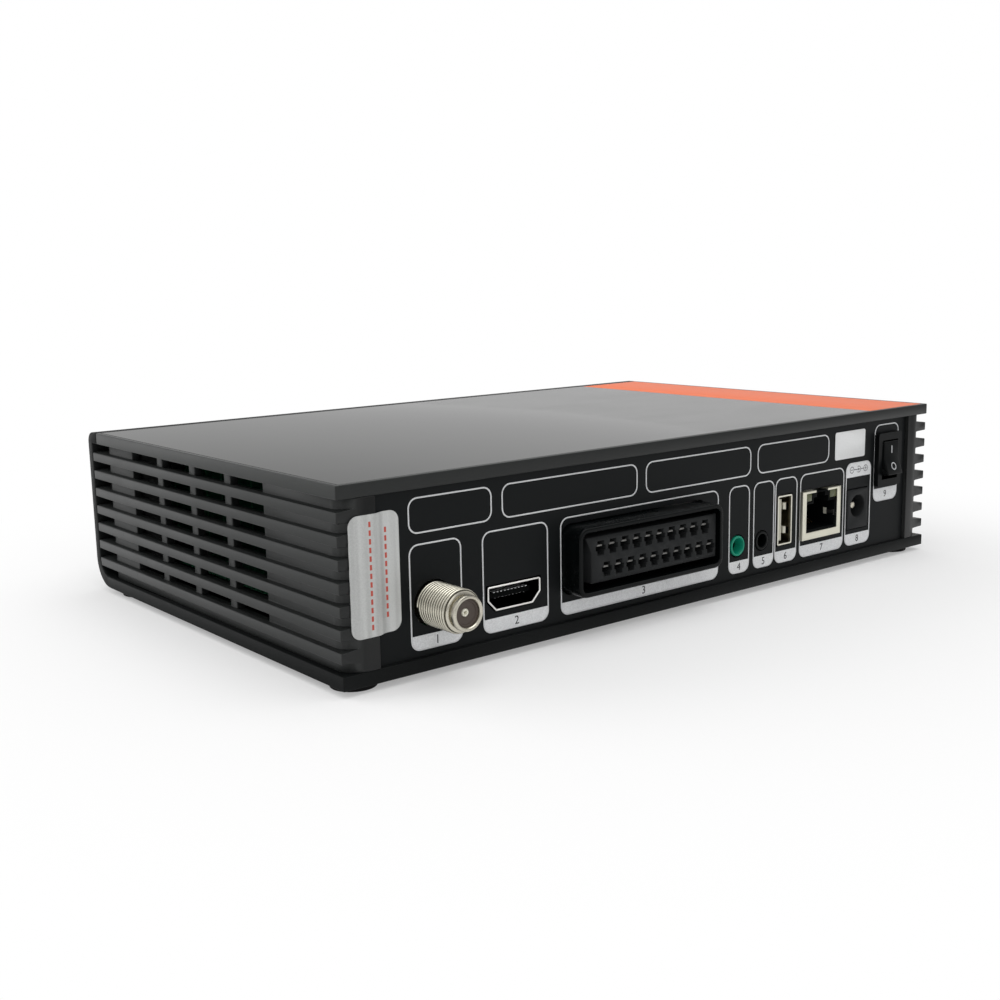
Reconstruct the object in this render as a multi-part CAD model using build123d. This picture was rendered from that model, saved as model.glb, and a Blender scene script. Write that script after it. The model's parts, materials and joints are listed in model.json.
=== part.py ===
from build123d import *
import os

# A satellite television receiver in a low plastic case: louvred sides, a rear wall of sockets,
# a mains-style rocker switch, three keys on the front and the boards inside.
# Millimetres. +X is the side of the aerial socket, +Y is the rear, +Z is up.
# The origin is the middle of the whole footprint, on the surface that the feet stand on.

# ---- driving dimensions: case ---------------------------------------------------------------
CASE_WIDTH = 200.0
CASE_DEPTH = 124.0
CASE_HEIGHT = 41.5
BASE_LIP = 3.0                 # height of the tray's edge under the louvres
FLOOR_THICK = 2.2              # tray floor inside its edge
EDGE_WIDTH = 4.0               # width of the tray's and the lid's thick edge
FRONT_WALL = 2.7
FRONT_BOTTOM_RADIUS = 7.5
FRONT_INNER_RADIUS = 4.5
FRONT_TOP_RADIUS = 2.8
FRONT_HOOK = 5.4               # how far the front wall turns back over the top
FRONT_EDGE_DEPTH = 9.0         # thick part of the tray behind the front wall
LID_LIP = 2.9                  # height of the lid's edge
LID_SKIN = 1.3                 # lid under its inlays
SEAM_GAP = 0.15
INLAY_THICK = 0.8
INLAY_MARGIN = 1.2
INLAY_GAP = 0.1
STRIP_WIDTH = 25.0

# ---- louvred side panels --------------------------------------------------------------------
FIN_COUNT = 7
FIN_TIP = 2.25                 # fin thickness at the case side
FIN_REACH = 6.5                # how deep a fin reaches in from the case side
FIN_TOP_FLARE = 0.6            # rise of a fin's top over that reach
FIN_BOTTOM_FLARE = 0.2         # fall of its underside
FIN_REAR_INSET = 0.3
GROOVE_DEPTH = 1.5             # from the fin tips to the panel wall
LOUVRE_WALL = 2.0
LOUVRE_CORNER = 5.0
LOUVRE_RETURN = 9.0            # how far the panel returns along the rear and the front
POCKET = 3.5                   # gap behind the front wall at the end of each groove
VENT_COLUMNS = 4
VENT_LENGTH = 14.6
VENT_PITCH = 17.6
VENT_OFFSET = -3.6             # middle of the vents from the middle of the case
VENT_OVERCUT = 0.1

# ---- rear wall ------------------------------------------------------------------------------
PANEL_THICK = 1.6
PANEL_RECESS = 1.0
PANEL_GAP = 0.2
CUT_GAP = 0.3                  # clearance around each socket in the rear wall

# ---- feet and fasteners ---------------------------------------------------------------------
FOOT_HEIGHT = 1.5
FOOT_RADIUS = 5.0
FOOT_INSET_X = 6.6
FOOT_REAR_INSET = 6.9
FOOT_FRONT_INSET = 13.2        # on the flat behind the curved front edge
BOSS_RADIUS = 4.2
BOSS_INSET_X = 8.0
BOSS_INSET_Y = 22.0
BOSS_HEIGHT = 10.0             # top of the tray's screw bosses above the underside
CASE_SCREW_RADIUS = 1.3
CASE_SCREW_HEAD_RADIUS = 2.8
CASE_SCREW_HEAD = 1.9
CASE_SCREW_RECESS = 3.2
CASE_SCREW_GRIP = 9.0
SCREW_CLEAR = 0.35
SCREW_FIT = 0.05
BOARD_SCREW_RADIUS = 1.05
BOARD_SCREW_HEAD_RADIUS = 2.6
BOARD_SCREW_HEAD = 1.6
BOARD_SCREW_GRIP = 4.0
STANDOFF_RADIUS = 3.0

# ---- main board and what stands on it -------------------------------------------------------
BOARD_THICK = 1.6
BOARD_TOP = 9.2                # top of the main board above the underside
BOARD_GAP = 0.8                # board edge to the case bosses
BOARD_REAR_GAP = 1.0
BOARD_FRONT_GAP = 7.0
BOARD_SCREW_INSET = 6.0
BOARD_SCREW_ROW = 20.5         # rear row of board screws, from the board's rear edge

# Bays of the rear wall from +X to -X: the width of each, the first and the last one's distance
# from the posts, and the proportions in which the spare width is shared out between them.
BAY_WIDTHS = {"aerial": 13.4, "hdmi": 18.7, "scart": 52.9, "av": 7.9, "data": 8.2,
              "usb": 9.1, "ethernet": 19.1, "dc": 11.4, "switch": 12.2}
BAY_SPACE_SHARES = (5.5, 3.6, 4.0, 1.5, 0.4, 1.2, 0.8, 1.35)
AERIAL_EDGE = 7.54
SWITCH_EDGE = 3.12

THREAD_RADIUS = 4.76           # 3/8-32 aerial thread
THREAD_LENGTH = 9.3
AERIAL_REACH = 11.9
AERIAL_NECK_RADIUS = 4.4        # between the can and the thread
AERIAL_NOSE_RADIUS = 3.8
AERIAL_BORE_RADIUS = 2.95
AERIAL_PIN_RADIUS = 0.7
AERIAL_FACE_DROP = 0.8
AERIAL_FLANGE_RADIUS = 5.6
AERIAL_FLANGE = 1.2
AERIAL_HEIGHT = 4.8            # axis above the board
CAN_DEPTH = 38.0
CAN_HEIGHT = 13.0
CAN_WALL = 0.5
CAN_GAP = 0.5
CAN_EDGE_GAP = 0.3             # from the board's +X edge
CAN_SOCKET_GAP = 3.0           # from the HDMI socket

HDMI_WIDTH = 15.0
HDMI_HEIGHT = 5.6
HDMI_FOOT_WIDTH = 10.4
HDMI_CHAMFER_HEIGHT = 2.4
HDMI_WALL = 0.4
HDMI_DEPTH = 11.0
HDMI_PROUD = 0.3
HDMI_TONGUE = (11.4, 1.3)
HDMI_TONGUE_DROP = 1.6
HDMI_TONGUE_LIFT = 0.3         # above the middle of the socket
SOCKET_BACK = 1.4              # plastic at the back of a metal socket

SCART_WIDTH = 47.6
SCART_HEIGHT = 15.9
SCART_CORNER = 2.6
SCART_WALL = 1.1
SCART_PROUD = 5.9
SCART_DEPTH = 15.0
SCART_OFFSET = 1.4
SCART_CAVITY = 12.0
SCART_CORE_GAP = 1.5
SCART_CORE_TOP_GAP = 1.4
SCART_CORE_BOTTOM_GAP = 1.7
SCART_CORE_DROP = 0.9
SCART_CORE_SLANT = 1.7
SCART_CORE_SLANT_HEIGHT = 3.6
SCART_PITCH = 3.85
SCART_ROW_SPACING = 5.1
SCART_CONTACTS = 10
SCART_SLOT = (2.0, 3.3)
SCART_SLOT_ARM = (3.0, 1.2)    # its cross arm
SCART_SLOT_DEPTH = 9.0
SCART_CONTACT_WIDTH = 1.7
SCART_CONTACT_THICK = 0.5
SCART_CONTACT_DROP = 0.4
SCART_CONTACT_LIFT = 0.55      # above the middle of its slot

JACK_RADIUS = 1.8              # 3.5 mm plug with clearance
JACK_DEPTH = 14.0
JACK_BODY = (6.4, 5.2)
JACK_HEIGHT = 2.4              # axis above the board
JACK_NOSE_RADIUS = 2.7
JACK_NOSE_PROUD = 0.7
JACK_SLEEVE_LENGTH = 3.0
DATA_NOSE_RADIUS = 2.45
DATA_NOSE_PROUD = 0.2

USB_WIDTH = 5.8
USB_HEIGHT = 13.2
USB_WALL = 0.4
USB_DEPTH = 14.0
USB_PROUD = 0.3
USB_TONGUE = (1.9, 11.0)
USB_TONGUE_SIDE = 1.1          # from the middle, towards +X
USB_TONGUE_DROP = 0.8

ETHERNET_WIDTH = 16.4
ETHERNET_HEIGHT = 13.1
ETHERNET_WALL = 0.4
ETHERNET_DEPTH = 15.0
ETHERNET_PROUD = 1.0
ETHERNET_OFFSET = 0.6
ETHERNET_RIM = 1.6             # front frame of the shell at each side of its window
ETHERNET_SILL = 1.9            # the frame under the window
ETHERNET_BROW = 0.6            # the frame over the window
ETHERNET_NOTCH = (5.0, 3.0)    # width and depth of the cut in the brow
PORT_WIDTH = 11.8
PORT_HEIGHT = 6.9
PORT_FLOOR = 2.2               # plastic under the opening
PORT_KEY = (6.2, 1.6)
PORT_LATCH = (3.4, 1.2)
PORT_DEPTH = 12.5
LAMP_SIZE = (2.7, 2.2)
LAMP_DEPTH = 8.0

DC_WIDTH = 9.2
DC_HEIGHT = 11.0
DC_DEPTH = 14.0
DC_PROUD = 0.5
DC_BORE_RADIUS = 3.1
DC_BORE_DEPTH = 10.0
DC_AXIS_HEIGHT = 6.3
DC_PIN_RADIUS = 1.05
DC_PIN_DROP = 1.5

SWITCH_FRAME_WIDTH = 10.8
SWITCH_FRAME_HEIGHT = 15.2
SWITCH_FRAME_PROUD = 1.5
SWITCH_FRAME_CORNER = 0.8
SWITCH_BODY = (9.2, 13.2)
SWITCH_BODY_DEPTH = 13.0
SWITCH_LID_GAP = 3.7           # from the switch frame to the lid
SWITCH_CAVITY_DEPTH = 8.5
ROCKER_WIDTH = 6.8
ROCKER_HALF = 4.75
ROCKER_GAP_SIDE = 0.2
ROCKER_GAP_END = 0.8
ROCKER_PIVOT_DROP = 2.0        # pivot below the face of the switch frame
ROCKER_SWING = 20.0            # degrees from one end to the other
ROCKER_END_PROUD = 1.3         # rocker ends above the frame when it is level
ROCKER_DIP = 0.7               # the hollow between its ends
ROCKER_ROOT = 2.4              # how far it reaches behind the pivot
PIVOT_RADIUS = 0.8
PIVOT_LENGTH = 0.6
PIVOT_CLEARANCE = 0.06
BLADE = (0.8, 4.8, 6.4)
BLADE_SPACING = 6.0
LEAD_RADIUS = 0.8
LEAD_BEND = 4.5
LEAD_BEND_SHARE = 0.9          # a bend takes at most this share of a lead's drop
LEAD_SPACING = 5.4
HEADER = (4.4, 10.0, 7.0)
HEADER_INSET = 29.0            # from the board's rear edge

CHIP_SIZE = 31.0
CHIP_THICK = 2.0
CHIP_INSET_Y = 45.0            # chip middle from the board's rear edge
SINK_SIZE = 40.0
SINK_BASE = 2.5
SINK_HEIGHT = 11.0
SINK_FINS = 9
SINK_FIN_THICK = 1.2
MEMORY_SIZE = (10.0, 13.0, 1.1)
MEMORY_PITCH = 18.0
MEMORY_GAP = 7.0               # from the heat sink to the memory chips
FLASH_SIZE = (12.0, 18.5, 1.2)
FLASH_GAP = 6.0
COIL_GAP = 1.0                 # from the last coil to the flash chip
CAPACITOR_RADIUS = 4.0
CAPACITOR_HEIGHT = 11.5
CAPACITOR_RIM = 0.5
CAPACITOR_PITCH = 10.5
CAPACITOR_COUNT = 3
CAPACITOR_INSET = 24.0         # from the board's rear edge
COIL_SIZE = (9.0, 9.0, 4.5)
COIL_CORNER = 1.6
COIL_PITCH = 13.0
COIL_COUNT = 3
COIL_INSET = 42.0
POWER_SIDE = 26.0              # coils and capacitors start this far from the board's -X edge
CRYSTAL_SIZE = (11.0, 4.6, 3.6)
CRYSTAL_CORNER = 2.2
CRYSTAL_GAP = 4.0

# ---- front ----------------------------------------------------------------------------------
WINDOW_THICK = 1.2
WINDOW_MARGIN_X = 8.0
WINDOW_MARGIN_Z = 1.0          # from the rounded edges of the front
WINDOW_CORNER = 2.0
WINDOW_GAP = 0.1
FRONT_BOARD_MARGIN = 16.0      # from each case side
FRONT_BOARD_THICK = 1.2
FRONT_BOARD_LOW = 5.5          # lower edge above the underside
FRONT_BOARD_TOP_GAP = 3.0      # upper edge under the lid's edge
KEY_SIZE = (8.0, 5.0)
KEY_CORNER = 0.8
KEY_GAP = 0.2
KEY_PROUD = 0.4
KEY_TRAVEL = 0.5
KEY_PITCH = 12.0
KEY_EDGE = 21.0                # last key from the case side
KEY_FLANGE = 1.0               # how much wider the flange is on each side
KEY_FLANGE_THICK = 0.8
KEY_STOP_GAP = 0.3
KEY_STEM_RADIUS = 1.3
KEY_STEM = 1.0
KEY_NAMES = ("standby", "channel_down", "channel_up")
TACT_SIZE = 6.2
TACT_BODY = 3.6
TACT_PLUNGER = 0.9
TACT_PLUNGER_RADIUS = 1.7
DISPLAY_SIZE = (42.0, 17.0)
DISPLAY_GAP = 0.4
RECEIVER_SIZE = (6.0, 7.0)
RECEIVER_INSET = 27.0          # from the end of the display
RECEIVER_LENS_RADIUS = 2.3
STATUS_LAMP_RADIUS = 1.5
STATUS_LAMP_INSET = 15.0
FRONT_POST_RADIUS = 2.6
FRONT_POST_INSET = 3.4
FRONT_SCREW_RADIUS = 1.0
FRONT_SCREW_HEAD_RADIUS = 2.2
FRONT_SCREW_HEAD = 1.4
FRONT_SCREW_GRIP = 5.0
RIBBON_WIDTH = 20.0
RIBBON_THICK = 0.4
RIBBON_BEND = 2.5
RIBBON_SOCKET = (24.0, 4.0, 5.0)   # width, thickness, height off its board
RIBBON_HEIGHT = 11.0               # ribbon above the main board
RIBBON_INSET = 6.0                 # main board's ribbon socket from the front edge

# ---- stickers -------------------------------------------------------------------------------
STICKER_THICK = 0.15
SEAL_ON_POST = 6.7
SEAL_ON_PANEL = 5.9
SEAL_HEIGHT = 25.0
SEAL_CORNER = 2.2
SEAL_LID_GAP = 3.6
SEAL_FOLD = 1.6                # width of the slope across the joint
LABEL_SIZE = (13.4, 7.6)
LABEL_CORNER = 0.6
LABEL_LID_GAP = 1.8
LABEL_OFFSET = 3.6             # from the middle of the dc bay, towards +X

# ---- derived places -------------------------------------------------------------------------
OVERALL_DEPTH = CASE_DEPTH + AERIAL_REACH - PANEL_RECESS + KEY_PROUD
REAR_Y = OVERALL_DEPTH / 2 - (AERIAL_REACH - PANEL_RECESS)
FRONT_Y = REAR_Y - CASE_DEPTH
MID_Y = (REAR_Y + FRONT_Y) / 2
SIDE_X = CASE_WIDTH / 2
BASE_Z = FOOT_HEIGHT
TOP_Z = BASE_Z + CASE_HEIGHT
FLOOR_Z = BASE_Z + FLOOR_THICK
LIP_Z = BASE_Z + BASE_LIP
LID_Z = TOP_Z - LID_LIP                      # underside of the lid's edge
LID_INNER_Z = TOP_Z - INLAY_THICK - LID_SKIN
SEAM_Y = FRONT_Y + FRONT_HOOK
PANEL_Y = REAR_Y - PANEL_RECESS              # outer face of the rear wall
PANEL_INNER_Y = PANEL_Y - PANEL_THICK
WALL_X = SIDE_X - GROOVE_DEPTH               # outer face of the louvre wall
POST_X = SIDE_X - LOUVRE_RETURN              # inner edge of the rear posts
PANEL_X = POST_X - PANEL_GAP
BOSS_X = SIDE_X - BOSS_INSET_X
BOSS_YS = (FRONT_Y + BOSS_INSET_Y, REAR_Y - BOSS_INSET_Y)
BOARD_Z = BASE_Z + BOARD_TOP
BOARD_HALF = BOSS_X - BOSS_RADIUS - BOARD_GAP
BOARD_REAR_Y = PANEL_INNER_Y - BOARD_REAR_GAP
INNER_FRONT_Y = FRONT_Y + FRONT_WALL
KEY_FLANGE_Y = INNER_FRONT_Y + KEY_STOP_GAP
KEY_STEM_END_Y = KEY_FLANGE_Y + KEY_FLANGE_THICK + KEY_STEM
TACT_TIP_Y = KEY_STEM_END_Y + KEY_TRAVEL + KEY_STOP_GAP
FRONT_BOARD_Y = TACT_TIP_Y + TACT_PLUNGER + TACT_BODY      # its front face
FRONT_BOARD_BACK_Y = FRONT_BOARD_Y + FRONT_BOARD_THICK
BOARD_FRONT_Y = FRONT_BOARD_BACK_Y + BOARD_FRONT_GAP
FRONT_FLAT_LOW = BASE_Z + FRONT_BOTTOM_RADIUS
FRONT_FLAT_HIGH = TOP_Z - FRONT_TOP_RADIUS
FRONT_MID_Z = (FRONT_FLAT_LOW + FRONT_FLAT_HIGH) / 2
KEY_XS = [SIDE_X - KEY_EDGE - i * KEY_PITCH for i in reversed(range(len(KEY_NAMES)))]
RECEIVER_X = -DISPLAY_SIZE[0] / 2 - RECEIVER_INSET
STATUS_LAMP_X = -DISPLAY_SIZE[0] / 2 - STATUS_LAMP_INSET
FRONT_BOARD_HALF = SIDE_X - FRONT_BOARD_MARGIN


def bay_centres():
    """Middle of each bay of the rear wall, with the spare width shared out between them."""
    spare = 2 * POST_X - AERIAL_EDGE - SWITCH_EDGE - sum(BAY_WIDTHS.values())
    unit = spare / sum(BAY_SPACE_SHARES)
    centres, x = {}, POST_X - AERIAL_EDGE
    for (name, width), share in zip(BAY_WIDTHS.items(), (*BAY_SPACE_SHARES, 0)):
        centres[name] = x - width / 2
        x -= width + share * unit
    return centres


BAY = bay_centres()
AERIAL_X, AERIAL_Z = BAY["aerial"], BOARD_Z + AERIAL_HEIGHT
CAN_SPAN = (BAY["hdmi"] + HDMI_WIDTH / 2 + CAN_SOCKET_GAP, BOARD_HALF - CAN_EDGE_GAP)
SWITCH_X = BAY["switch"]
SWITCH_Z = LID_Z - SWITCH_LID_GAP - SWITCH_FRAME_HEIGHT / 2
SWITCH_FACE_Y = PANEL_Y + SWITCH_FRAME_PROUD
PIVOT_Y = SWITCH_FACE_Y - ROCKER_PIVOT_DROP
CHIP_Y = BOARD_REAR_Y - CHIP_INSET_Y
POWER_X = -BOARD_HALF + POWER_SIDE
FLASH_X = POWER_X + (COIL_COUNT - 1) * COIL_PITCH + COIL_SIZE[0] / 2 + COIL_GAP + FLASH_SIZE[0] / 2
CHIP_X = FLASH_X + FLASH_SIZE[0] / 2 + FLASH_GAP + SINK_SIZE / 2


# ---- shape helpers --------------------------------------------------------------------------
def block(x, y, z):
    """Box between two corners, given as a low and a high value along each axis."""
    size = (x[1] - x[0], y[1] - y[0], z[1] - z[0])
    return Pos((x[0] + x[1]) / 2, (y[0] + y[1]) / 2, (z[0] + z[1]) / 2) * Box(*size)


def centred(middle, size):
    """Low and high value of a size about its middle."""
    return middle - size / 2, middle + size / 2


def along_x(sketch, x0, x1):
    """A sketch drawn in Y and Z, pushed from x0 to x1."""
    return extrude(Plane.YZ.offset(x0) * sketch, amount=x1 - x0)


def along_y(sketch, y0, y1):
    """A sketch drawn in X and Z, pushed from y0 to y1."""
    return extrude(Plane.XZ.offset(-y1) * sketch, amount=y1 - y0)


def along_z(sketch, z0, z1):
    """A sketch drawn in X and Y, pushed from z0 to z1."""
    return extrude(Plane.XY.offset(z0) * sketch, amount=z1 - z0)


def rod_y(radius, x, z, y0, y1):
    return along_y(Pos(x, z) * Circle(radius), y0, y1)


def rod_z(radius, x, y, z0, z1):
    return along_z(Pos(x, y) * Circle(radius), z0, z1)


def rounded(x, y, width, height, radius):
    """A rounded rectangle about (x, y) in its own plane."""
    return Pos(x, y) * RectangleRounded(width, height, radius)


def mirrored(shape):
    """The same shape on the other side of the case."""
    return mirror(shape, about=Plane.YZ)


def closed(points):
    """A flat face inside the points, taken in order."""
    return make_face(Polyline(*points, close=True))


def group(shapes):
    """Separate solids kept in one node."""
    return Compound(children=list(shapes))


# ---- case -----------------------------------------------------------------------------------
def case_side_profile():
    """Section of the tray along the case: floor, rounded front edge, front wall and top hook."""
    floor = Pos((FRONT_Y + FRONT_BOTTOM_RADIUS + REAR_Y) / 2, BASE_Z + BASE_LIP / 2) * Rectangle(
        CASE_DEPTH - FRONT_BOTTOM_RADIUS, BASE_LIP)
    wall_low = BASE_Z + FRONT_BOTTOM_RADIUS
    wall = Pos(FRONT_Y + FRONT_WALL / 2, (wall_low + LID_Z) / 2) * Rectangle(
        FRONT_WALL, LID_Z - wall_low)
    hook = Pos(FRONT_Y + FRONT_HOOK / 2, (LID_Z + TOP_Z) / 2) * Rectangle(FRONT_HOOK, LID_LIP)
    corner = closed([(FRONT_Y, BASE_Z), (FRONT_Y + FRONT_BOTTOM_RADIUS, BASE_Z),
                     (FRONT_Y + FRONT_BOTTOM_RADIUS, LIP_Z), (INNER_FRONT_Y, LIP_Z),
                     (INNER_FRONT_Y, wall_low), (FRONT_Y, wall_low)])
    filler = closed([(INNER_FRONT_Y, LIP_Z), (INNER_FRONT_Y + FRONT_INNER_RADIUS, LIP_Z),
                     (INNER_FRONT_Y, LIP_Z + FRONT_INNER_RADIUS)])
    filler += Pos(INNER_FRONT_Y + FRONT_INNER_RADIUS / 2, LIP_Z + FRONT_INNER_RADIUS / 2) * Rectangle(
        FRONT_INNER_RADIUS, FRONT_INNER_RADIUS)
    filler -= Pos(INNER_FRONT_Y + FRONT_INNER_RADIUS, LIP_Z + FRONT_INNER_RADIUS) * Circle(
        FRONT_INNER_RADIUS)
    profile = floor + wall + hook + corner + filler
    outer = Pos(FRONT_Y + FRONT_BOTTOM_RADIUS, BASE_Z + FRONT_BOTTOM_RADIUS) * Circle(
        FRONT_BOTTOM_RADIUS)
    square = Pos(FRONT_Y + FRONT_BOTTOM_RADIUS / 2, BASE_Z + FRONT_BOTTOM_RADIUS / 2) * Rectangle(
        FRONT_BOTTOM_RADIUS, FRONT_BOTTOM_RADIUS)
    top_square = Pos(FRONT_Y + FRONT_TOP_RADIUS / 2, TOP_Z - FRONT_TOP_RADIUS / 2) * Rectangle(
        FRONT_TOP_RADIUS, FRONT_TOP_RADIUS)
    top_round = Pos(FRONT_Y + FRONT_TOP_RADIUS, TOP_Z - FRONT_TOP_RADIUS) * Circle(FRONT_TOP_RADIUS)
    return profile - (square - outer) - (top_square - top_round)


def window_size(gap=0.0):
    """Width and height of the window, or of its recess when a gap is given."""
    height = FRONT_FLAT_HIGH - FRONT_FLAT_LOW - 2 * WINDOW_MARGIN_Z
    return CASE_WIDTH - 2 * WINDOW_MARGIN_X + 2 * gap, height + 2 * gap


def front_posts():
    """X and Z of the screw posts that carry the front board."""
    low = BASE_Z + FRONT_BOARD_LOW + FRONT_POST_INSET
    high = LID_Z - FRONT_BOARD_TOP_GAP - FRONT_POST_INSET
    half = FRONT_BOARD_HALF - FRONT_POST_INSET
    return [(x, z) for x in (-half, half) for z in (low, high)]


def board_screws_at():
    """X and Y of the main board's screws."""
    side = BOARD_HALF - BOARD_SCREW_INSET
    rear = BOARD_REAR_Y - BOARD_SCREW_ROW
    front = BOARD_FRONT_Y + BOARD_SCREW_INSET
    inner = BAY["hdmi"]
    return [(-side, rear), (inner, rear), (-side, front), (side, front)]


def front_openings(y0, y1, gap=0.0):
    """The holes through the front wall: display, remote receiver and status lamp."""
    display = along_y(Pos(0, FRONT_MID_Z) * Rectangle(DISPLAY_SIZE[0] + 2 * gap,
                                                      DISPLAY_SIZE[1] + 2 * gap), y0, y1)
    receiver = rod_y(RECEIVER_LENS_RADIUS + gap, RECEIVER_X, FRONT_MID_Z, y0, y1)
    lamp = rod_y(STATUS_LAMP_RADIUS + gap, STATUS_LAMP_X, FRONT_MID_Z, y0, y1)
    return display + receiver + lamp


def key_holes(y0, y1):
    """The holes that the keys slide in."""
    width, height = KEY_SIZE[0] + 2 * KEY_GAP, KEY_SIZE[1] + 2 * KEY_GAP
    holes = [along_y(rounded(x, FRONT_MID_Z, width, height, KEY_CORNER + KEY_GAP), y0, y1)
             for x in KEY_XS]
    return holes[0] + holes[1:]


def base_tray():
    tray = along_x(case_side_profile(), -SIDE_X, SIDE_X)
    tray -= block((-SIDE_X + EDGE_WIDTH, SIDE_X - EDGE_WIDTH),
                  (FRONT_Y + FRONT_EDGE_DEPTH, REAR_Y - EDGE_WIDTH), (FLOOR_Z, LIP_Z))
    width, height = window_size(WINDOW_GAP)
    recess_y = FRONT_Y + WINDOW_THICK
    tray -= along_y(rounded(0, FRONT_MID_Z, width, height, WINDOW_CORNER + WINDOW_GAP),
                    FRONT_Y, recess_y)
    tray -= front_openings(recess_y, INNER_FRONT_Y, DISPLAY_GAP)
    tray -= key_holes(recess_y, INNER_FRONT_Y)
    for x, z in front_posts():
        tray += rod_y(FRONT_POST_RADIUS, x, z, INNER_FRONT_Y, FRONT_BOARD_Y)
        tray -= rod_y(FRONT_SCREW_RADIUS + SCREW_FIT, x, z, INNER_FRONT_Y, FRONT_BOARD_Y)
    for x, y in board_screws_at():
        tray += rod_z(STANDOFF_RADIUS, x, y, FLOOR_Z, BOARD_Z - BOARD_THICK)
        tray -= rod_z(BOARD_SCREW_RADIUS + SCREW_FIT, x, y, FLOOR_Z, BOARD_Z - BOARD_THICK)
    for x in (-BOSS_X, BOSS_X):
        for y in BOSS_YS:
            tray += rod_z(BOSS_RADIUS, x, y, FLOOR_Z, BASE_Z + BOSS_HEIGHT)
            tray -= rod_z(CASE_SCREW_RADIUS + SCREW_CLEAR, x, y, BASE_Z, BASE_Z + BOSS_HEIGHT)
            tray -= rod_z(CASE_SCREW_HEAD_RADIUS + SCREW_CLEAR, x, y, BASE_Z,
                          BASE_Z + CASE_SCREW_RECESS)
    return tray


def inlay_span():
    """Y extent of the recess in the lid that holds the inlays."""
    return SEAM_Y + SEAM_GAP + INLAY_MARGIN / 2, REAR_Y - INLAY_MARGIN


def top_cover():
    lid = block((-SIDE_X, SIDE_X), (SEAM_Y + SEAM_GAP, REAR_Y), (LID_Z, TOP_Z))
    y0, y1 = inlay_span()
    lid -= block((-SIDE_X + INLAY_MARGIN, SIDE_X - INLAY_MARGIN), (y0, y1),
                 (TOP_Z - INLAY_THICK, TOP_Z))
    lid -= block((-SIDE_X + EDGE_WIDTH, SIDE_X - EDGE_WIDTH),
                 (SEAM_Y + SEAM_GAP + EDGE_WIDTH, REAR_Y - EDGE_WIDTH), (LID_Z, LID_INNER_Z))
    for x in (-BOSS_X, BOSS_X):
        for y in BOSS_YS:
            lid += rod_z(BOSS_RADIUS, x, y, BASE_Z + BOSS_HEIGHT, LID_INNER_Z)
            lid -= rod_z(CASE_SCREW_RADIUS + SCREW_FIT, x, y, BASE_Z + BOSS_HEIGHT,
                         BASE_Z + CASE_SCREW_RECESS + CASE_SCREW_GRIP + BOSS_HEIGHT)
    return lid


def inlays():
    """The dark inlay of the lid and the coloured strip beside it."""
    y0, y1 = inlay_span()
    left = -SIDE_X + INLAY_MARGIN
    right = SIDE_X - INLAY_MARGIN
    split = left + STRIP_WIDTH
    y = (y0 + INLAY_GAP, y1 - INLAY_GAP)
    z = (TOP_Z - INLAY_THICK, TOP_Z)
    panel = block((split + INLAY_GAP / 2, right - INLAY_GAP), y, z)
    strip = block((left + INLAY_GAP, split - INLAY_GAP / 2), y, z)
    return panel, strip


def louvre_panel():
    """The +X side panel: a wall with rounded ends, fins that stand out to the case side, vents."""
    front_y = INNER_FRONT_Y + POCKET
    depth = REAR_Y - front_y
    middle = (REAR_Y + front_y) / 2
    width = 2 * LOUVRE_RETURN
    plan = rounded(WALL_X - width / 2, middle, width, depth, LOUVRE_CORNER)
    inner = rounded(WALL_X - width / 2, middle, width - 2 * LOUVRE_WALL, depth - 2 * LOUVRE_WALL,
                    LOUVRE_CORNER - LOUVRE_WALL)
    keep = Pos((POST_X + SIDE_X) / 2, MID_Y) * Rectangle(LOUVRE_RETURN, CASE_DEPTH)
    core = along_z(plan, LIP_Z, LID_Z)
    panel = along_z((plan - inner) & keep, LIP_Z, LID_Z)

    pitch = (LID_Z - LIP_Z + FIN_TIP) / (FIN_COUNT + 1)
    gap = pitch - FIN_TIP
    root_x = SIDE_X - FIN_REACH
    fin_y = (INNER_FRONT_Y, REAR_Y - FIN_REAR_INSET)
    for i in range(FIN_COUNT):
        low = LIP_Z + gap + i * pitch
        section = closed([(root_x, low - FIN_BOTTOM_FLARE), (SIDE_X, low),
                          (SIDE_X, low + FIN_TIP), (root_x, low + FIN_TIP + FIN_TOP_FLARE)])
        panel += along_y(section, *fin_y) - core
        for j in range(VENT_COLUMNS):
            y = MID_Y + VENT_OFFSET + (j - (VENT_COLUMNS - 1) / 2) * VENT_PITCH
            z = low + FIN_TIP
            panel -= block((WALL_X - LOUVRE_WALL, WALL_X), centred(y, VENT_LENGTH),
                           (z - VENT_OVERCUT, z + gap + VENT_OVERCUT))
    return panel - along_x(case_side_profile(), -SIDE_X, SIDE_X)


def rear_wall():
    wall = block((-PANEL_X, PANEL_X), (PANEL_INNER_Y, PANEL_Y), (LIP_Z, LID_Z))
    y = (PANEL_INNER_Y, PANEL_Y)
    wall -= rod_y(THREAD_RADIUS + CUT_GAP, AERIAL_X, AERIAL_Z, *y)
    wall -= along_y(hdmi_outline(CUT_GAP), *y)
    wall -= along_y(scart_outline(CUT_GAP), *y)
    wall -= rod_y(JACK_NOSE_RADIUS + CUT_GAP, BAY["av"], BOARD_Z + JACK_HEIGHT, *y)
    wall -= rod_y(DATA_NOSE_RADIUS + CUT_GAP, BAY["data"], BOARD_Z + JACK_HEIGHT, *y)
    wall -= along_y(usb_outline(CUT_GAP), *y)
    wall -= along_y(ethernet_outline(CUT_GAP), *y)
    wall -= block(centred(BAY["dc"], DC_WIDTH + 2 * CUT_GAP), y,
                  (BOARD_Z - CUT_GAP, BOARD_Z + DC_HEIGHT + CUT_GAP))
    wall -= block(centred(SWITCH_X, SWITCH_BODY[0] + 2 * PANEL_GAP), y,
                  centred(SWITCH_Z, SWITCH_BODY[1] + 2 * PANEL_GAP))
    return wall


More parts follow.
